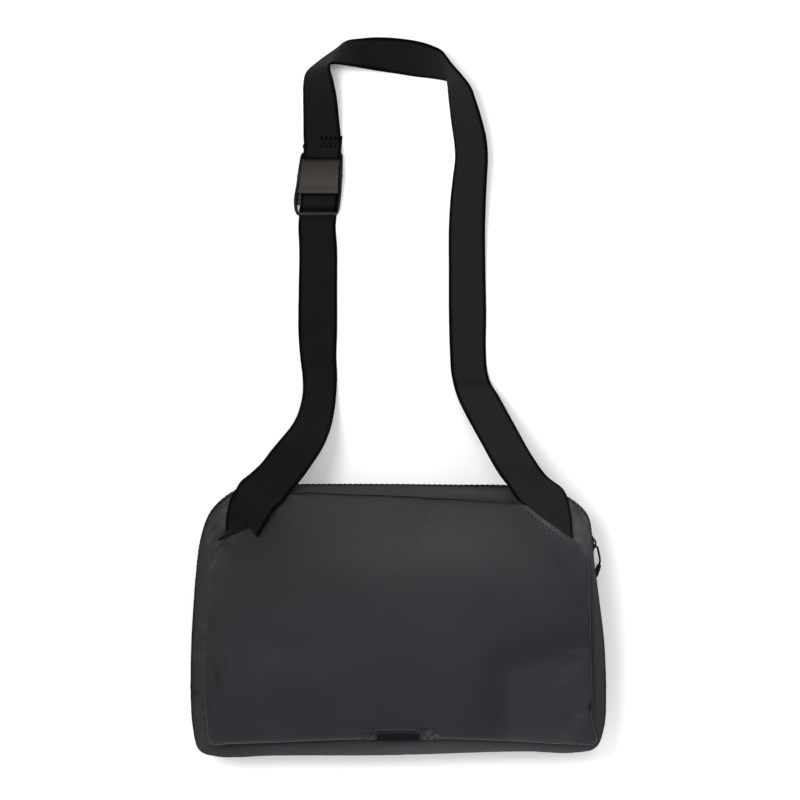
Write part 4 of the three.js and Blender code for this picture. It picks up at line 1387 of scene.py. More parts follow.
@dataclass
class Zip:
    """The zip over the bag's top: tape, coil, slider with the pull's knot, and the stitches beside it."""

    shell: Shell
    tape_gap: float = 0.004
    tape_out: float = -1.5
    tape_half: float = 3.8
    tape_wall: float = 1.0
    height: float = 28.5
    coil_gap: float = 0.09
    coil_inset: float = 2.0
    tooth_pitch: float = 1.05
    tooth_reach: float = 1.7
    tooth_radius: float = 0.42
    tooth_flat: float = 0.85
    tooth_shift: float = 0.55
    tooth_out: float = 0.2
    slider_row: float = 9.85
    slider_floor: float = -0.6
    slider_wall: float = 1.2
    slider_taper: float = 0.5
    slider_radius: float = 0.45
    bridge_half: float = 2.4
    bridge_foot: float = 1.0
    bridge_rise: float = 1.1
    bridge_radius: float = 0.5
    bridge_width: float = 1.9
    knot_below: Place = (-0.9, -0.3, 0.55)
    knot_start: Place = (-2.41, 0.5, 2.29)
    knot_half: float = 1.4
    knot_radius: float = 0.5
    stitch_gap: float = 0.2
    stitch_bow: float = 0.3
    thread: Thread = Thread(length=2.1, pitch=2.9, radius=0.24)

    def span(self, gap: float, count: int) -> Array:
        """Rows along the zip, with a gap left at both ends."""
        return np.linspace(self.shell.zip_from + gap, self.shell.zip_to - gap, count)

    def path(self, row: Array) -> tuple[Array, Array]:
        """The widest line and its outward directions at given rows."""
        return self.shell.lines.middle(row), self.shell.lines.outward(row)

    def tape(self) -> Piece:
        """The woven tape: a band along the widest line, a little inside it."""
        line, outward = self.path(self.span(self.tape_gap, 260))
        up = np.linspace(-self.tape_half, self.tape_half, 13)
        grid = (line + outward * self.tape_out)[:, None] + np.zeros((1, len(up), 1))
        grid[..., 2] = self.height + up
        facing = np.sign(np.einsum("ijk,ik->", normals_of(grid), outward))
        woven = loop_coordinates(lengths(line), np.broadcast_to(up, grid.shape[:2]))
        made = Surfaces().closed(thick(grid, -self.tape_wall * facing), coordinates=woven)
        return made.piece("zip_tape", TAPE_FINISH, replaces="zip_chain")

    def coil(self) -> Piece:
        """The coil: rounded teeth that reach across the middle in turn from both sides.

        A tooth is a capsule along the tape's height. Its section's radius is the tooth radius times the
        square root of 1 - s⁴ over its length, and every second one is moved up instead of down.

        Returns:
            The piece.
        """
        line, outward = self.path(self.span(self.coil_gap, 900))
        along = lengths(line)
        places = np.arange(self.coil_inset, along[-1] - self.coil_inset, self.tooth_pitch / 2)
        out = unit(resample(outward, along, places))
        base = resample(line, along, places) + out * (self.tape_out + self.tooth_out)
        side = np.cross(UP, out)
        share = np.linspace(-1, 1, 7)
        radius = self.tooth_radius * np.sqrt(np.maximum(1 - share**4, 0.05))
        angle = turns(6)[:, None]
        made = Surfaces()
        for k in range(len(places)):
            ring = side[k] * np.cos(angle) * self.tooth_flat + out[k] * np.sin(angle)
            grid = base[k] + radius[:, None, None] * ring
            shift = self.tooth_shift if k % 2 else -self.tooth_shift
            grid[..., 2] = (self.height + shift + share * self.tooth_reach)[:, None]
            made.closed(grid)
        return made.piece("zip_coil", COIL_FINISH)

    def on_slider(self, points: Array) -> Array:
        """From along, up and out in the slider to the bag."""
        line, outward = self.path(np.array([self.slider_row]))
        side = np.cross(UP, outward[0])
        return line[0] + points[..., :1] * side + points[..., 1:2] * UP + points[..., 2:] * outward[0]

    def slider(self) -> Piece:
        """The slider: two rounded wings, and a bridge over them that the pull cord is tied to.

        The wing is a stack of rounded sections along the zip whose widths follow its outline. The bridge is a
        tube on half an ellipse.

        Returns:
            The piece.
        """
        tip = SLIDER_HALF[-1, 0]
        along = np.linspace(-tip, tip, 25)
        wall = self.slider_wall - self.slider_taper * (along / tip) ** 6
        section = rounded(2 * np.interp(along, *SLIDER_HALF.T), wall, self.slider_radius)
        wing = np.dstack([np.broadcast_to(along[:, None], section.shape[:2]), section])
        wing[..., 2] += self.slider_floor + self.slider_wall / 2
        made = Surfaces().closed(self.on_slider(wing), edge=0.3)
        angle = np.linspace(0, np.pi, 25)
        rise = self.slider_floor + self.bridge_foot + self.bridge_rise * np.sin(angle)
        arch = np.column_stack([self.bridge_half * np.cos(angle), np.zeros(len(angle)), rise])
        bridge = tube(arch, self.bridge_radius)
        bridge[..., 1] *= self.bridge_width
        made.closed(self.on_slider(bridge), edge=0.5)
        return made.piece("zip_slider_metal", FRAME_FINISH, replaces="zip_slider")

    def knot(self) -> Piece:
        """The loop that ties the cord to the bridge: a tube on an ellipse that ends where the cord starts."""
        below, start = np.array(self.knot_below), np.array(self.knot_start)
        long = (start - below) / 2
        wide = unit(np.array([0.0, 1.0, 0.0]) - unit(long) * unit(long)[1]) * self.knot_half
        turn = turns(28)[:, None]
        middle = (start + below) / 2 + np.cos(turn) * long + np.sin(turn) * wide
        outward = unit(np.cos(turn) * long / (long @ long) + np.sin(turn) * wide / (wide @ wide))
        angle = turns(12)[:, None]
        across = np.sin(angle) * unit(np.cross(long, wide))
        grid = middle[:, None] + self.knot_radius * (np.cos(angle) * outward[:, None] + across)
        twist = np.stack(np.broadcast_arrays(turn * self.knot_half, angle.T), axis=-1)
        made = Surfaces().closed(self.on_slider(grid), ring=True, coordinates=twist)
        return made.piece("pull_knot", CORD_FINISH)

    def stitches(self) -> Piece:
        """A row of stitches on the cloth on each side of the zip."""
        row = self.span(self.stitch_gap, 400)
        made = Surfaces()
        for bow in (-self.stitch_bow, self.stitch_bow):
            grid = self.shell.lines.gusset(row, np.array([bow - 0.02, bow, bow + 0.02]))
            normal = normals_of(grid)[:, 1]
            normal = normal * np.sign(np.einsum("ij,ij->", normal, self.shell.lines.outward(row)))
            self.thread.sew(made, grid[:, 1] + normal * STITCH_RISE, normal)
        return made.piece("zip_stitches", DARK_THREAD_FINISH)

    def build(self) -> None:
        """Makes the zip's pieces."""
        self.tape()
        self.coil()
        self.slider()
        self.knot()
        self.stitches()


# The pull cord's route, from the slider over a bend and down beside the bag, in millimetres
CORD_ROUTE = np.array([
    (108.1, 41.5, 29.5), (108.2, 41, 30.6), (108.3, 40.2, 31.2), (108.5, 39.2, 31.1), (108.8, 38.2, 29.9),
    (109.1, 37.2, 28), (109.4, 36.3, 25.6), (109.7, 35.5, 22.9), (109.9, 34.8, 20.1), (110.1, 34.1, 17.2),
    (110.3, 33.5, 14.3), (110.4, 32.9, 11.4), (110.5, 32.3, 8.4), (110.5, 31.6, 5.5), (110.5, 30.6, 2.9),
])


@dataclass
class PullCord:
    """The zip's pull: a thin braided cord from the slider and the moulded tab on its end."""

    diameter: float = 1.15
    sides: int = 12
    steps_per_row: int = 6
    tab_length: float = 7.6
    tab_grip: float = 0.6
    tab_width: float = 3.0
    tab_thick: float = 2.0
    tab_radius: float = 0.9
    tab_neck: float = 0.35
    tab_taper: float = 0.18
    tab_rib: float = 0.07
    tab_lean: float = 0.35
    tab_droop: float = 0.2

    def build(self) -> None:
        at = np.linspace(0, len(CORD_ROUTE) - 1, (len(CORD_ROUTE) - 1) * self.steps_per_row + 1)
        path = spline(CORD_ROUTE, at)
        grid = tube(path, self.diameter / 2, self.sides)
        twist = np.stack(np.broadcast_arrays(lengths(path)[:, None], turns(self.sides)), axis=-1)
        cord = Surfaces().closed(grid, coordinates=twist).piece(
            "pull_cord", CORD_FINISH, replaces="zip_pull_cord"
        )
        tab = self.tab(path[-1])

    def tab(self, end: Array) -> Piece:
        """The tab: rounded sections along its length, waisted where the cord goes in, with three grip ribs.

        Args:
            end: Where the cord ends.

        Returns:
            The piece.
        """
        down = unit(np.array([-self.tab_lean, -1.0, -self.tab_droop]))
        side = unit(np.cross(UP, down))
        share = np.linspace(0, 1, 41)
        full = self.tab_neck + (1 - self.tab_neck) * (1 - (2 * share - 1) ** 6) ** 0.5
        ribs = np.cos(share * 9 * np.pi) * ease(0.15, 0.3, share) * (1 - ease(0.7, 0.85, share))
        wide = self.tab_width * full * (1 - self.tab_taper * (1 - share))
        tall = self.tab_thick * full * (1 + self.tab_rib * ribs)
        section = rounded(wide, tall, self.tab_radius, 6)
        along = (share * self.tab_length - self.tab_grip)[:, None, None] * down
        grid = end + along + section[..., :1] * side + section[..., 1:] * np.cross(down, side)
        return Surfaces().closed(grid).piece("pull_tab", RUBBER_FINISH, replaces="zip_pull_tab")


# The bottom loop's path: y, and height over the front there
LOOP_PATH = np.array([(-58.2, 1.7), (-59.6, 1.7), (-61.2, 1.8), (-61.9, 0.4), (-62.3, -2.2)])


@dataclass
class BottomTab:
    """The sewn patch at the front's bottom edge and the webbing loop on it that takes a light."""

    lines: BagLines
    patch_x: Span = (-23.2, 22.2)
    patch_y: Span = (-54.4, -61.2)
    patch_wall: float = 0.9
    patch_proud: float = 0.25
    patch_sunk: float = 0.9
    free_x: Span = (9.0, 14.0)
    sunk_x: Span = (19.5, 22.4)
    sunk_y: Span = (-56.4, -54.6)
    crumple: float = 0.22
    # Heights below which the painted highlight streaks start, on the left and on the right
    pale_left: float = -58.0
    pale_right: float = -55.8
    loop_x: Span = (-11.9, 9.8)
    loop_wall: float = 1.1
    stitch_x: Span = (-9.5, 9.5)
    side_stitch_x: tuple[Span, ...] = ((-18.0, -12.5), (10.8, 14.6), (17.0, 20.0))
    stitch_y: float = -55.6
    thread: Thread = Thread(length=1.5, pitch=2.3, radius=0.22)

    def patch(self) -> Piece:
        """The patch follows the front and is sewn down into it, so that only its upper part stands out.

        Beside the loop it is crumpled by a ripple, with painted highlight streaks along its lower edge. Its
        ends and its upper edge sink into the front.

        Returns:
            The piece.
        """
        y, x = np.meshgrid(np.linspace(*self.patch_y, 19), np.linspace(*self.patch_x, 121), indexing="ij")
        grid = self.lines.front_at(x, y)
        free = ease(*self.free_x, np.abs(x))
        crumple = ripple(x / 0.6, y / 0.5, 8)
        sunk = np.maximum(ease(*self.sunk_x, np.abs(x)), ease(*self.sunk_y, y))
        grid[..., 2] += self.patch_proud - self.patch_wall
        grid[..., 2] += self.crumple * free * crumple - self.patch_sunk * sunk
        loops = thick(grid, self.patch_wall)
        # Painted highlight streaks along the lower edge, paler where the ripple rises.
        streaks = ease(0.0, 2.2, np.where(x < 0, self.pale_left, self.pale_right) - y)
        pale = free * streaks * np.clip(0.6 + 1.1 * crumple, -0.5, 1.7)
        blank = np.zeros((len(grid), 5))
        tones = np.concatenate([pale, blank, pale[:, ::-1], blank], axis=1)
        made = Surfaces().closed(loops, coordinates=loops[..., :2], edge=tones)
        return made.piece("loop_patch_cloth", CLOTH_FINISH, replaces="loop_patch")

    def loop(self) -> Piece:
        """The loop: a band whose path lies on the patch and folds over the bottom seam."""
        fine = spline(LOOP_PATH, np.linspace(0, len(LOOP_PATH) - 1, 33))
        y, x = np.meshgrid(fine[:, 0], np.linspace(*self.loop_x, 25), indexing="ij")
        grid = self.lines.front_at(x, y)
        grid[..., 2] += fine[:, 1:]
        along = lengths(grid[:, grid.shape[1] // 2])
        made = Surfaces().closed(thick(grid, self.loop_wall), coordinates=loop_coordinates(along, x))
        return made.piece("light_loop_webbing", LOOP_FINISH, replaces="light_loop")

    def stitches(self) -> None:
        """Pale stitches over the loop and dark ones beside them, along the patch's upper edge."""
        for name, finish, spans in (
            ("patch_stitches", THREAD_FINISH, (self.stitch_x,)),
            ("patch_side_stitches", DARK_THREAD_FINISH, self.side_stitch_x),
        ):
            made = Surfaces()
            for span in spans:
                x = np.linspace(*span, 40)
                line = self.lines.front_at(x, np.full_like(x, self.stitch_y))
                line[:, 2] += self.patch_proud + STITCH_RISE
                self.thread.sew(made, line, UP)
            made.piece(name, finish)

    def build(self) -> None:
        """Makes the patch, its loop and its stitches."""
        self.patch()
        self.loop()
        self.stitches()


# The buckle's frame, in its own millimetres along it: half width, and height of its cheeks
FRAME_HALF = np.array([
    (-17.4, 10.2), (-16.6, 11.2), (-14.6, 12), (-8, 12.5), (3, 12.5), (11, 12.1), (16.4, 11.5), (17.6, 10.6),
])
FRAME_HEIGHT = np.array([(-17.4, 3.6), (-6, 4.8), (1, 6.5), (8, 6.5), (13, 5), (17.6, 4)])

# The lever's side view about its pivot: along and height
LEVER_SIDE = np.array([
    (9.2, 1.6), (5.5, 2.4), (0, 2.9), (-5, 3.2), (-8.6, 3.7), (-9.5, 3.5), (-9.7, 2.9), (-9.2, 2),
    (-7.5, 1.7), (-4, 1.7), (-1.8, 1.3), (-1.5, 0), (-1.06, -1.06), (0, -1.5), (1.06, -1.06), (1.5, 0),
    (1.8, 1.1), (5.5, 1), (9.2, 0.4),
])

# The pin's domed ends: length from the tip, and share of the pin's radius there
PIN_END = np.array([(0, 0.45), (0.25, 0.75), (0.5, 0.92), (0.7, 0.98), (1, 1), (1.4, 1)])


@dataclass(frozen=True)
class Bar:
    """A bar across the buckle: its reach along it and in height, edge radius, half length and edge value,
    which paints a highlight on its upper part, or shade where it is below 0.
    """

    start: float
    end: float
    low: float
    high: float
    radius: float
    half: float
    tone: float


@dataclass
class Buckle:
    """The cam buckle: a frame of two cheeks, two bars and a base, and the lever that turns between them."""

    x: float = -44.7
    y: float = 241.9
    turn: float = math.radians(-4.5)
    window: float = 10.6
    cheek_thin: float = 1.3
    cheek_thick: float = 1.7
    cheek_radius: float = 0.55
    bulge: float = 1.0
    bulge_along: float = -9.0
    bulge_reach: float = 7.0
    ledge_along: Span = (-11.4, 13.4)
    ledge_across: float = -10.55
    ledge_width: float = 2.3
    ledge_height: float = 2.4
    ledge_radius: float = 0.4
    # The bars' edge values are painted: highlights on the bottom and top bars, and shade on the base under
    # the lever.
    bars: tuple[Bar, ...] = (
        Bar(-17.4, -15.4, 1.9, 3.5, radius=0.75, half=10.6, tone=0.9),
        Bar(15.9, 17.6, 2.1, 3.8, radius=0.8, half=10.9, tone=0.4),
        Bar(-4.0, 15.4, 0.0, 0.8, radius=0.3, half=10.9, tone=-0.9),
    )
    pivot: Span = (4.4, 4.6)
    pin_radius: float = 1.1
    pin_reach: float = 12.8
    lever_half: float = 10.4
    edge_radius: float = 0.3
    lever_flare: float = 0.55
    flare_from: float = 3.6
    flare_span: float = 12.0
    lever_trim: float = 0.93
    lever_shift: float = -0.3

    def to_bag(self, points: Array) -> Array:
        """Moves points from across, along and height in the leaning buckle to the bag. Bars stay level."""
        x = self.x + points[..., 0] - points[..., 1] * math.sin(self.turn)
        y = self.y + points[..., 1] * math.cos(self.turn)
        return np.stack([x, y, points[..., 2]], axis=-1)

    def add(self, made: Surfaces, across: Array, along: Array, height: Array, edge: Array | float) -> None:
        """Adds a closed body.

        Args:
            made: The surfaces that take the body.
            across: Its points across the buckle, by section and place.
            along: The same along the buckle, of a shape that fits.
            height: The same in height, of a shape that fits.
            edge: Its edge values.
        """
        grid = np.stack(np.broadcast_arrays(across, along, height), axis=-1)
        made.closed(self.to_bag(grid), edge=edge)

    def cheek(self, made: Surfaces, side: int) -> None:
        """One cheek: rounded sections along the buckle, between the window and the frame's outline.

        Args:
            made: The surfaces that take the cheek.
            side: -1 for the left cheek, whose lower half bulges, and 1 for the right one.
        """
        along, half = spline(FRAME_HALF, np.linspace(0, len(FRAME_HALF) - 1, 90)).T
        height = np.pad(np.interp(along, *FRAME_HEIGHT.T), 4, mode="edge")
        height = np.convolve(height, np.ones(9) / 9, mode="valid")
        if side < 0:
            half = half + self.bulge * np.exp(-(((along - self.bulge_along) / self.bulge_reach) ** 2))
        inner = np.maximum(np.minimum(self.window, half - self.cheek_thin), half - self.cheek_thick)
        section = rounded(half - inner, height, self.cheek_radius)
        across = side * (section[..., 0] + (half + inner)[:, None] / 2)
        flat = 1 - np.abs(section[..., 0]) / (half - inner)[:, None] * 2
        # Painted light: the cheek's flat top is paler, and its sides and underside are darker.
        tone_and_painted_light = np.where(section[..., 1] > 0, 0.6 * ease(0.1, 0.75, flat) - 0.25, -0.25)
        self.add(made, across, along[:, None], section[..., 1] + height[:, None] / 2, tone_and_painted_light)

    def ledge(self, made: Surfaces) -> None:
        """Adds the left cheek's pressed-in ledge, which closes the window beside the strap."""
        along = np.linspace(*self.ledge_along, 41)[:, None]
        section = rounded(np.full(41, self.ledge_width), self.ledge_height, self.ledge_radius)
        # Painted highlight: the ledge grows paler towards its top.
        tone_and_painted_light = 0.5 * ease(0.1, 0.5, section[..., 1] / self.ledge_height)
        across, height = section[..., 0] + self.ledge_across, section[..., 1] + self.ledge_height / 2
        self.add(made, across, along, height, tone_and_painted_light)

    def bar(self, made: Surfaces, bar: Bar) -> None:
        """A bar across the frame: one rounded section carried from cheek to cheek.

        Args:
            made: The surfaces that take the bar.
            bar: Its sizes.
        """
        across = np.linspace(-bar.half, bar.half, 41)[:, None]
        tall = bar.high - bar.low
        section = rounded(np.full(41, bar.end - bar.start), tall, bar.radius)
        along = section[..., 0] + (bar.start + bar.end) / 2
        height = section[..., 1] + (bar.low + bar.high) / 2
        self.add(made, across, along, height, bar.tone * ease(0.0, 0.4, section[..., 1] / tall))

    def frame_piece(self) -> Piece:
        """The frame."""
        made = Surfaces()
        self.cheek(made, -1)
        self.cheek(made, 1)
        self.ledge(made)
        for bar in self.bars:
            self.bar(made, bar)
        return made.piece("buckle_frame_metal", FRAME_FINISH, replaces="buckle_frame")

    def pin(self, made: Surfaces) -> None:
        """Adds the lever's pin, a turned body with domed ends."""
        tips, dome = PIN_END[:, 0] - self.pin_reach, self.pin_radius * PIN_END[:, 1]
        ends = np.concatenate([tips, -tips[::-1]])[:, None]
        wide = np.concatenate([dome, dome[::-1]])[:, None]
        angle = turns(20)
        along, height = self.pivot[0] + wide * np.cos(angle), self.pivot[1] + wide * np.sin(angle)
        self.add(made, ends, along, height, 0.4)

    def lever_piece(self) -> Piece:
        """The lever and its pin.

        The lever is its side view carried across the buckle, a little shorter above its cam and flared at its
        lip. Near both sides the view is drawn in along its own normals by r - sqrt(r² - d²), which rounds the
        edges.

        Returns:
            The piece.
        """
        side = spline(LEVER_SIDE, np.arange(len(LEVER_SIDE) * 6) / 6, closed=True)
        slope = np.roll(side, -1, axis=0) - np.roll(side, 1, axis=0)
        inward = unit(np.column_stack([-slope[:, 1], slope[:, 0]]))
        if np.einsum("ij,ij->", inward, side - side.mean(0)) > 0:
            inward = -inward
        radius = self.edge_radius
        rim = self.lever_half - radius + radius * np.sin(np.linspace(0, np.pi / 2, 7))
        across = np.concatenate([-rim[::-1], np.linspace(-rim[0], rim[0], 21)[1:-1], rim])
        past = np.clip(np.abs(across) - (self.lever_half - radius), 0, radius * 0.999)
        inset = radius - np.sqrt(radius**2 - past**2)
        view = side[None] + inward[None] * inset[:, None, None]
        along, height = view[..., 0], view[..., 1]
        along = along - (1 - self.lever_trim) * np.maximum(along - LEVER_SIDE[1, 0], 0)
        flare = 1 + self.lever_flare / self.lever_half * (self.flare_from - along) / self.flare_span
        # Painted light: the lever grows paler towards its lip, with a painted highlight on the lip and a pale
        # band near where the plate turns up to it.
        tone_and_painted_light = 0.14 * ease(8.0, -8.0, along) + 0.3 * ease(-9.0, -9.6, along)
        tone_and_painted_light += bands(along, ((-5.5, 2.2, 0.07),))
        made = Surfaces()
        across = across[:, None] * flare + self.lever_shift
        self.add(made, across, along + self.pivot[0], height + self.pivot[1], tone_and_painted_light)
        self.pin(made)
        return made.piece("buckle_lever_metal", LEVER_FINISH, body=Body.LEVER, replaces="buckle_lever")

    def build(self) -> None:
        """Makes the frame and the lever."""
        self.frame_piece()
        self.lever_piece()


# Straps. Each row is a line across the webbing's underside, from its inner edge to its outer edge as seen
# from the middle of the strap's loop: x, y and z of both. The ends at the bag are sewn down on its front.
MAIN_ROWS = np.array([
    (-33.4, 265.4, 2.4, -52.7, 265.4, 2.2), (-33.6, 270.4, 2.8, -52.9, 270.4, 1.4),
    (-34.1, 277.2, 5.6, -52.8, 277.2, 0.1), (-35.3, 289.6, 9.7, -52.8, 290, 0),
    (-37.2, 299.4, 13, -52.6, 297.7, 0), (-38.5, 304.4, 16, -51.1, 303.5, 0.2),
    (-38.4, 306.3, 17.2, -43.5, 310.2, 0.6), (-37.4, 307.1, 17, -34.8, 316.4, 1),
    (-30.6, 307, 13, -29.2, 320.6, 1.2), (-23, 306.5, 7.6, -21.4, 321.9, 2),
    (-13.3, 305.5, 3.2, -13.5, 322.6, 3.8), (-2.6, 304.3, 1, -1.7, 322, 6.8),
    (8.3, 302.8, 0.2, 10.3, 320, 10.2), (17.6, 301.8, 0, 18.3, 317.4, 12.6),
    (24.2, 300.8, 0, 23.3, 314.7, 14.4), (26.9, 300, 0, 28.3, 308, 17.6),
    (27.5, 297.6, 0, 34.1, 301.2, 18.2), (27.9, 292.7, 0, 38.9, 295, 16.4),
    (28.5, 286.1, 0, 41.7, 287.7, 14.8), (29.7, 275.5, 0, 45, 277.2, 12.6),
    (31.1, 265.5, 0, 47.5, 266.6, 11.2), (31.6, 256.6, 0, 48.3, 256.6, 10.6),
    (30.3, 245.5, 0, 47.8, 245.5, 9.2), (28.9, 233.3, 0, 47.2, 233.3, 7.4),
    (27.9, 216.6, 0, 46.7, 216.6, 4.6), (27.8, 194.4, 0, 46.8, 194.4, 1.6),
    (27.8, 169.4, 0, 47.2, 169.4, 0), (28.3, 150.7, 0, 47, 150.7, 0),
    (29.2, 136.7, 0.4, 47.8, 138.4, 0.6), (32.2, 124.5, 5.5, 49.8, 131, 4.6),
    (36.4, 115.1, 13.6, 54, 123.9, 12.2), (45.1, 98.7, 28, 62.7, 107.4, 26.4),
    (53.8, 82.6, 44, 71.4, 91.2, 38.4), (59.4, 74.8, 51.4, 78.6, 80.8, 43.6),
    (62, 70.4, 53.4, 88.2, 72.8, 43), (65, 67, 53.8, 92, 60, 48), (68.4, 64.5, 54, 92.8, 47.5, 52),
])
ADJUSTER_ROWS = np.array([
    (-76.8, 48.4, 58.6, -90.4, 67.8, 50.6), (-67.4, 63.6, 58.6, -86, 77, 50.2),
    (-63.4, 67.2, 57.6, -80.6, 81.6, 49.2), (-59, 72.8, 54.8, -74.8, 87.1, 46.4),
    (-52.7, 80.9, 48.4, -70.2, 93.3, 41.8), (-48, 87.8, 42, -65, 99.8, 37),
    (-42.7, 96.5, 31.4, -59.8, 106.3, 28.4), (-39.1, 105.7, 20.4, -56.2, 112.9, 19),
    (-37.1, 115, 11, -54.3, 119.5, 10.4), (-36.1, 123.8, 4.4, -53.3, 126, 4.2),
    (-35.6, 134.4, 0.6, -53.4, 134.4, 0.6), (-36, 147.2, 0, -54.9, 147.2, 0),
    (-35.6, 161.1, 0, -55.8, 161.1, 0), (-35.6, 183.3, 0, -55.6, 183.3, 0),
    (-35.6, 205.5, 0, -55.3, 205.5, 0),
])
ANCHOR_ROWS = np.array([
    (-77, 55.2, 55.2, -97.6, 46.1, 51.2), (-70.6, 70, 52.8, -94, 49.7, 50.8),
    (-68, 71.6, 53, -93.4, 58.6, 48), (-66, 73.2, 52.2, -90.6, 70, 45.2), (-65, 75, 50.2, -83, 79, 45),
])

# Places of the webbing in the buckle's own frame: along and height
SEWN_LOOP = np.array([
    (27, 1.65), (22, 1.65), (18.2, 1.65), (16.3, 1.6), (15.7, 2.05), (15.6, 2.95), (15.7, 3.8), (16.3, 4.3),
    (18.2, 4.25), (20.5, 3.2),
])
ADJUSTER_IN_BUCKLE = np.array([
    (-23, 0), (-19, 0), (-16.5, 0), (-13, 0.3), (-8, 0.9), (-4.4, 1.1), (0, 1.1), (3, 1.1),
])

# Painted bands across the straps, of y, reach and tone: shade of the folds in the right one, and in the left
# one at the buckle's grip, the shadows of the bar and lip with a highlight between them
FOLD_SHADING = ((131.5, 2.2, -0.15), (84.0, 3.6, -0.12))
BUCKLE_SHADING = ((232.6, 2.2, 0.11), (228.0, 1.3, -0.209), (236.2, 0.9, -0.165))


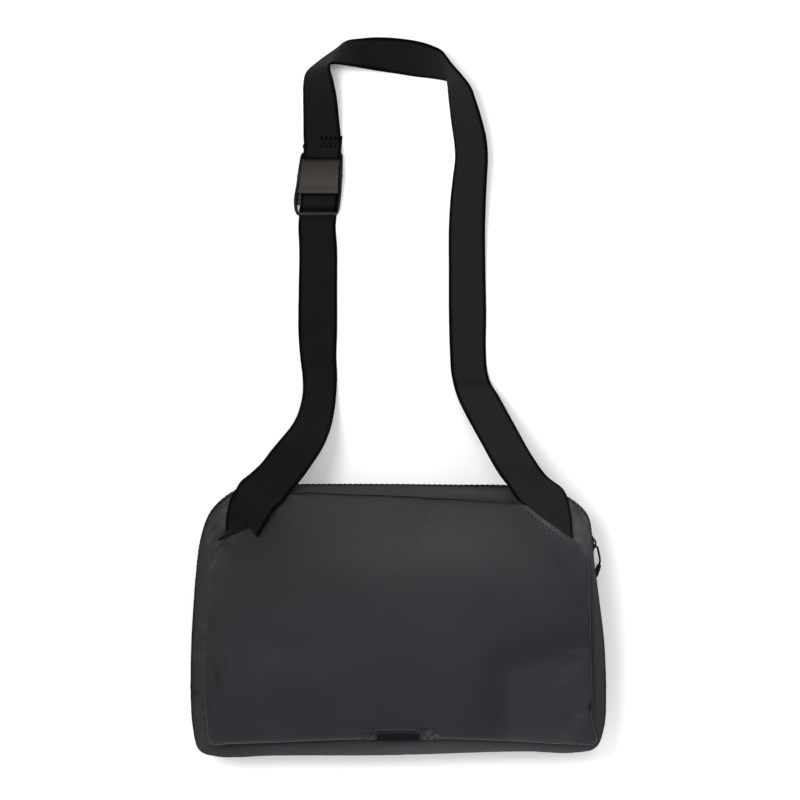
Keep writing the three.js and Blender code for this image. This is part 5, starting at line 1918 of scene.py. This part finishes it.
@dataclass
class Straps:
    """The shoulder strap: a long piece sewn to the buckle, a shorter one that it grips, and the anchor."""

    buckle: Buckle
    webbing: float = 1.4
    lie: float = 0.15
    floor: float = 0.02
    loop_half: float = 9.7
    sewn_shift: float = 0.25
    adjuster_shift: float = 0.4
    steps_per_row: int = 10
    columns: int = 25
    # The selvedge band's tone is painted shade along the strap's edges, and the ridge band is a painted
    # highlight line inside it
    selvedge: float = 1.15
    edge_shade: float = -0.32
    ridge: tuple[float, float, float] = (1.9, 0.5, 0.05)
    # Painted light: the fields below paint the straps paler towards the right, less so higher up, and deepen
    # the painted edge shade there; they also paint the left straps darker as they rise to the bag.
    pale: float = 0.3
    pale_x: Span = (0.0, 34.0)
    pale_loss: float = 0.2
    loss_y: Span = (170.0, 250.0)
    pale_trim: float = 3.2
    low_tone: float = -0.07
    low_y: Span = (130.0, 95.0)
    tack_x: tuple[float, ...] = (-43.5, -40.9, -38.4, -35.8)
    tack_y: tuple[float, ...] = (262.7, 265.0, 267.3)
    tack_z: float = 2.4
    tack_ends: tuple[Place, ...] = ((-53.2, 262.8, 3.2), (-33.4, 267.4, 3.4))
    end_thread: Thread = Thread(length=2.8, pitch=9.0, radius=0.75)

    def in_buckle(self, places: Array, shift: float) -> Array:
        """Rows of the webbing in the buckle's frame, as rows of the bag."""
        def edge(across: float) -> Array:
            """One edge of the webbing."""
            return self.buckle.to_bag(np.column_stack([np.full(len(places), across), places]))

        return np.hstack([edge(shift + self.loop_half), edge(shift - self.loop_half)])

    def ribbon(self, rows: Array) -> tuple[Array, Array, Array]:
        """The ruled surface between the two edge curves.

        Args:
            rows: Both ends of each ruling.

        Returns:
            The underside's points, lengths along it, and distances across it.
        """
        at = np.linspace(0, len(rows) - 1, (len(rows) - 1) * self.steps_per_row + 1)
        inner, outer = spline(rows[:, :3], at), spline(rows[:, 3:], at)
        share = np.linspace(0, 1, self.columns)
        grid = inner[:, None] + (outer - inner)[:, None] * share[None, :, None]
        grid[..., 2] += self.lie
        along = lengths((inner + outer) / 2)
        across = np.linalg.norm(outer - inner, axis=1)[:, None] * (share - 0.5)[None, :]
        return grid, along, across

    def strap(self, rows: Array, name: str, node: str) -> Piece:
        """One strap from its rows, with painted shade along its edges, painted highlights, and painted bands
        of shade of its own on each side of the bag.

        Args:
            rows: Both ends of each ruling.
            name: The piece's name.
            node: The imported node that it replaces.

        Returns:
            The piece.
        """
        grid, along, across = self.ribbon(rows)
        loops = thick(grid, self.webbing)
        loops[..., 2] = np.maximum(loops[..., 2], self.floor)
        x, y = loops[..., 0], loops[..., 1]
        inwards = across[:, -1:] - np.abs(across)
        # Painted shade along the edges with a highlight line inside, a painted highlight towards the right,
        # and painted bands of light and shade.
        painted_edge_shade = bands(inwards, ((0.0, self.selvedge, self.edge_shade), self.ridge))
        pale = self.pale * ease(*self.pale_x, x) * (1 - self.pale_loss * ease(*self.loss_y, y))
        left = bands(y, BUCKLE_SHADING) + self.low_tone * ease(*self.low_y, y)
        tone = pale + round_loops(painted_edge_shade) * (1 + self.pale_trim * pale) + np.where(x < 0, left, bands(y, FOLD_SHADING))
        made = Surfaces().closed(loops, coordinates=loop_coordinates(along, across), edge=tone)
        return made.piece(name, STRAP_FINISH, replaces=node)

    def bar_tacks(self) -> Piece:
        """The tacks that hold the sewn loop: short black stitches, the middle row between the others."""
        made = Surfaces()
        for row, y in enumerate(self.tack_y):
            middle = row == 1
            half, radius, shift = (0.6, 0.3, 1.3) if middle else (1.1, 0.48, 0.0)
            thread = Thread(length=2 * half, pitch=9.0, radius=radius)
            for x in self.tack_x[:-1] if middle else self.tack_x:
                line = np.linspace((x + shift - 0.15, y - half), (x + shift + 0.15, y + half), 9)
                lean = np.interp(line[:, 0], [-53, -33], [0.1, 0.25]) + np.interp(y, [262, 267], [0.22, 0])
                z = self.tack_z + self.lie + self.webbing + lean
                thread.sew(made, np.column_stack([line, z]), UP)
        for x, y, z in self.tack_ends:
            half = self.end_thread.length / 2
            self.end_thread.sew(made, np.linspace((x, y - half, z), (x, y + half, z), 9), UP)
        return made.piece("bar_tack_stitches", BLACK_THREAD_FINISH)

    def build(self) -> None:
        """Makes the straps and the stitches on them."""
        main = np.vstack([self.in_buckle(SEWN_LOOP, self.sewn_shift), MAIN_ROWS])
        adjuster = np.vstack([ADJUSTER_ROWS, self.in_buckle(ADJUSTER_IN_BUCKLE, self.adjuster_shift)])
        self.strap(main, "main_strap_webbing", "strap_main")
        self.strap(adjuster, "adjuster_webbing", "strap_adjuster")
        self.strap(ANCHOR_ROWS, "anchor_strap_webbing", "anchor_webbing")
        self.bar_tacks()


@dataclass
class FrontStitches:
    """The stitches on the front along its slanting corner seam."""

    lines: BagLines
    start: Span = (68.6, 61.7)
    end: Span = (88.6, 46.2)
    thread: Thread = Thread(length=1.7, pitch=2.5, radius=0.24)

    def build(self) -> Piece:
        """Sews the seam from end to end on the front."""
        x, y = np.linspace(self.start, self.end, 60).T
        line = self.lines.front_at(x, y)
        line[:, 2] += STITCH_RISE
        made = Surfaces()
        self.thread.sew(made, line, UP)
        return made.piece("corner_stitches", DARK_THREAD_FINISH)


def main() -> None:
    """Builds the studio, the cord and then the bag's pieces in order."""
    logging.basicConfig(level=logging.INFO, format="%(message)s")
    studio = Studio()
    studio.camera()
    studio.lights()
    studio.floor()
    PullCord().build()
    lines = BagLines()
    shell = Shell(lines)
    shell.build()
    Zip(shell).build()
    BottomTab(lines).build()
    FrontStitches(lines).build()
    buckle = Buckle()
    buckle.build()
    Straps(buckle).build()
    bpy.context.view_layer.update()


if __name__ == "__main__":
    main()
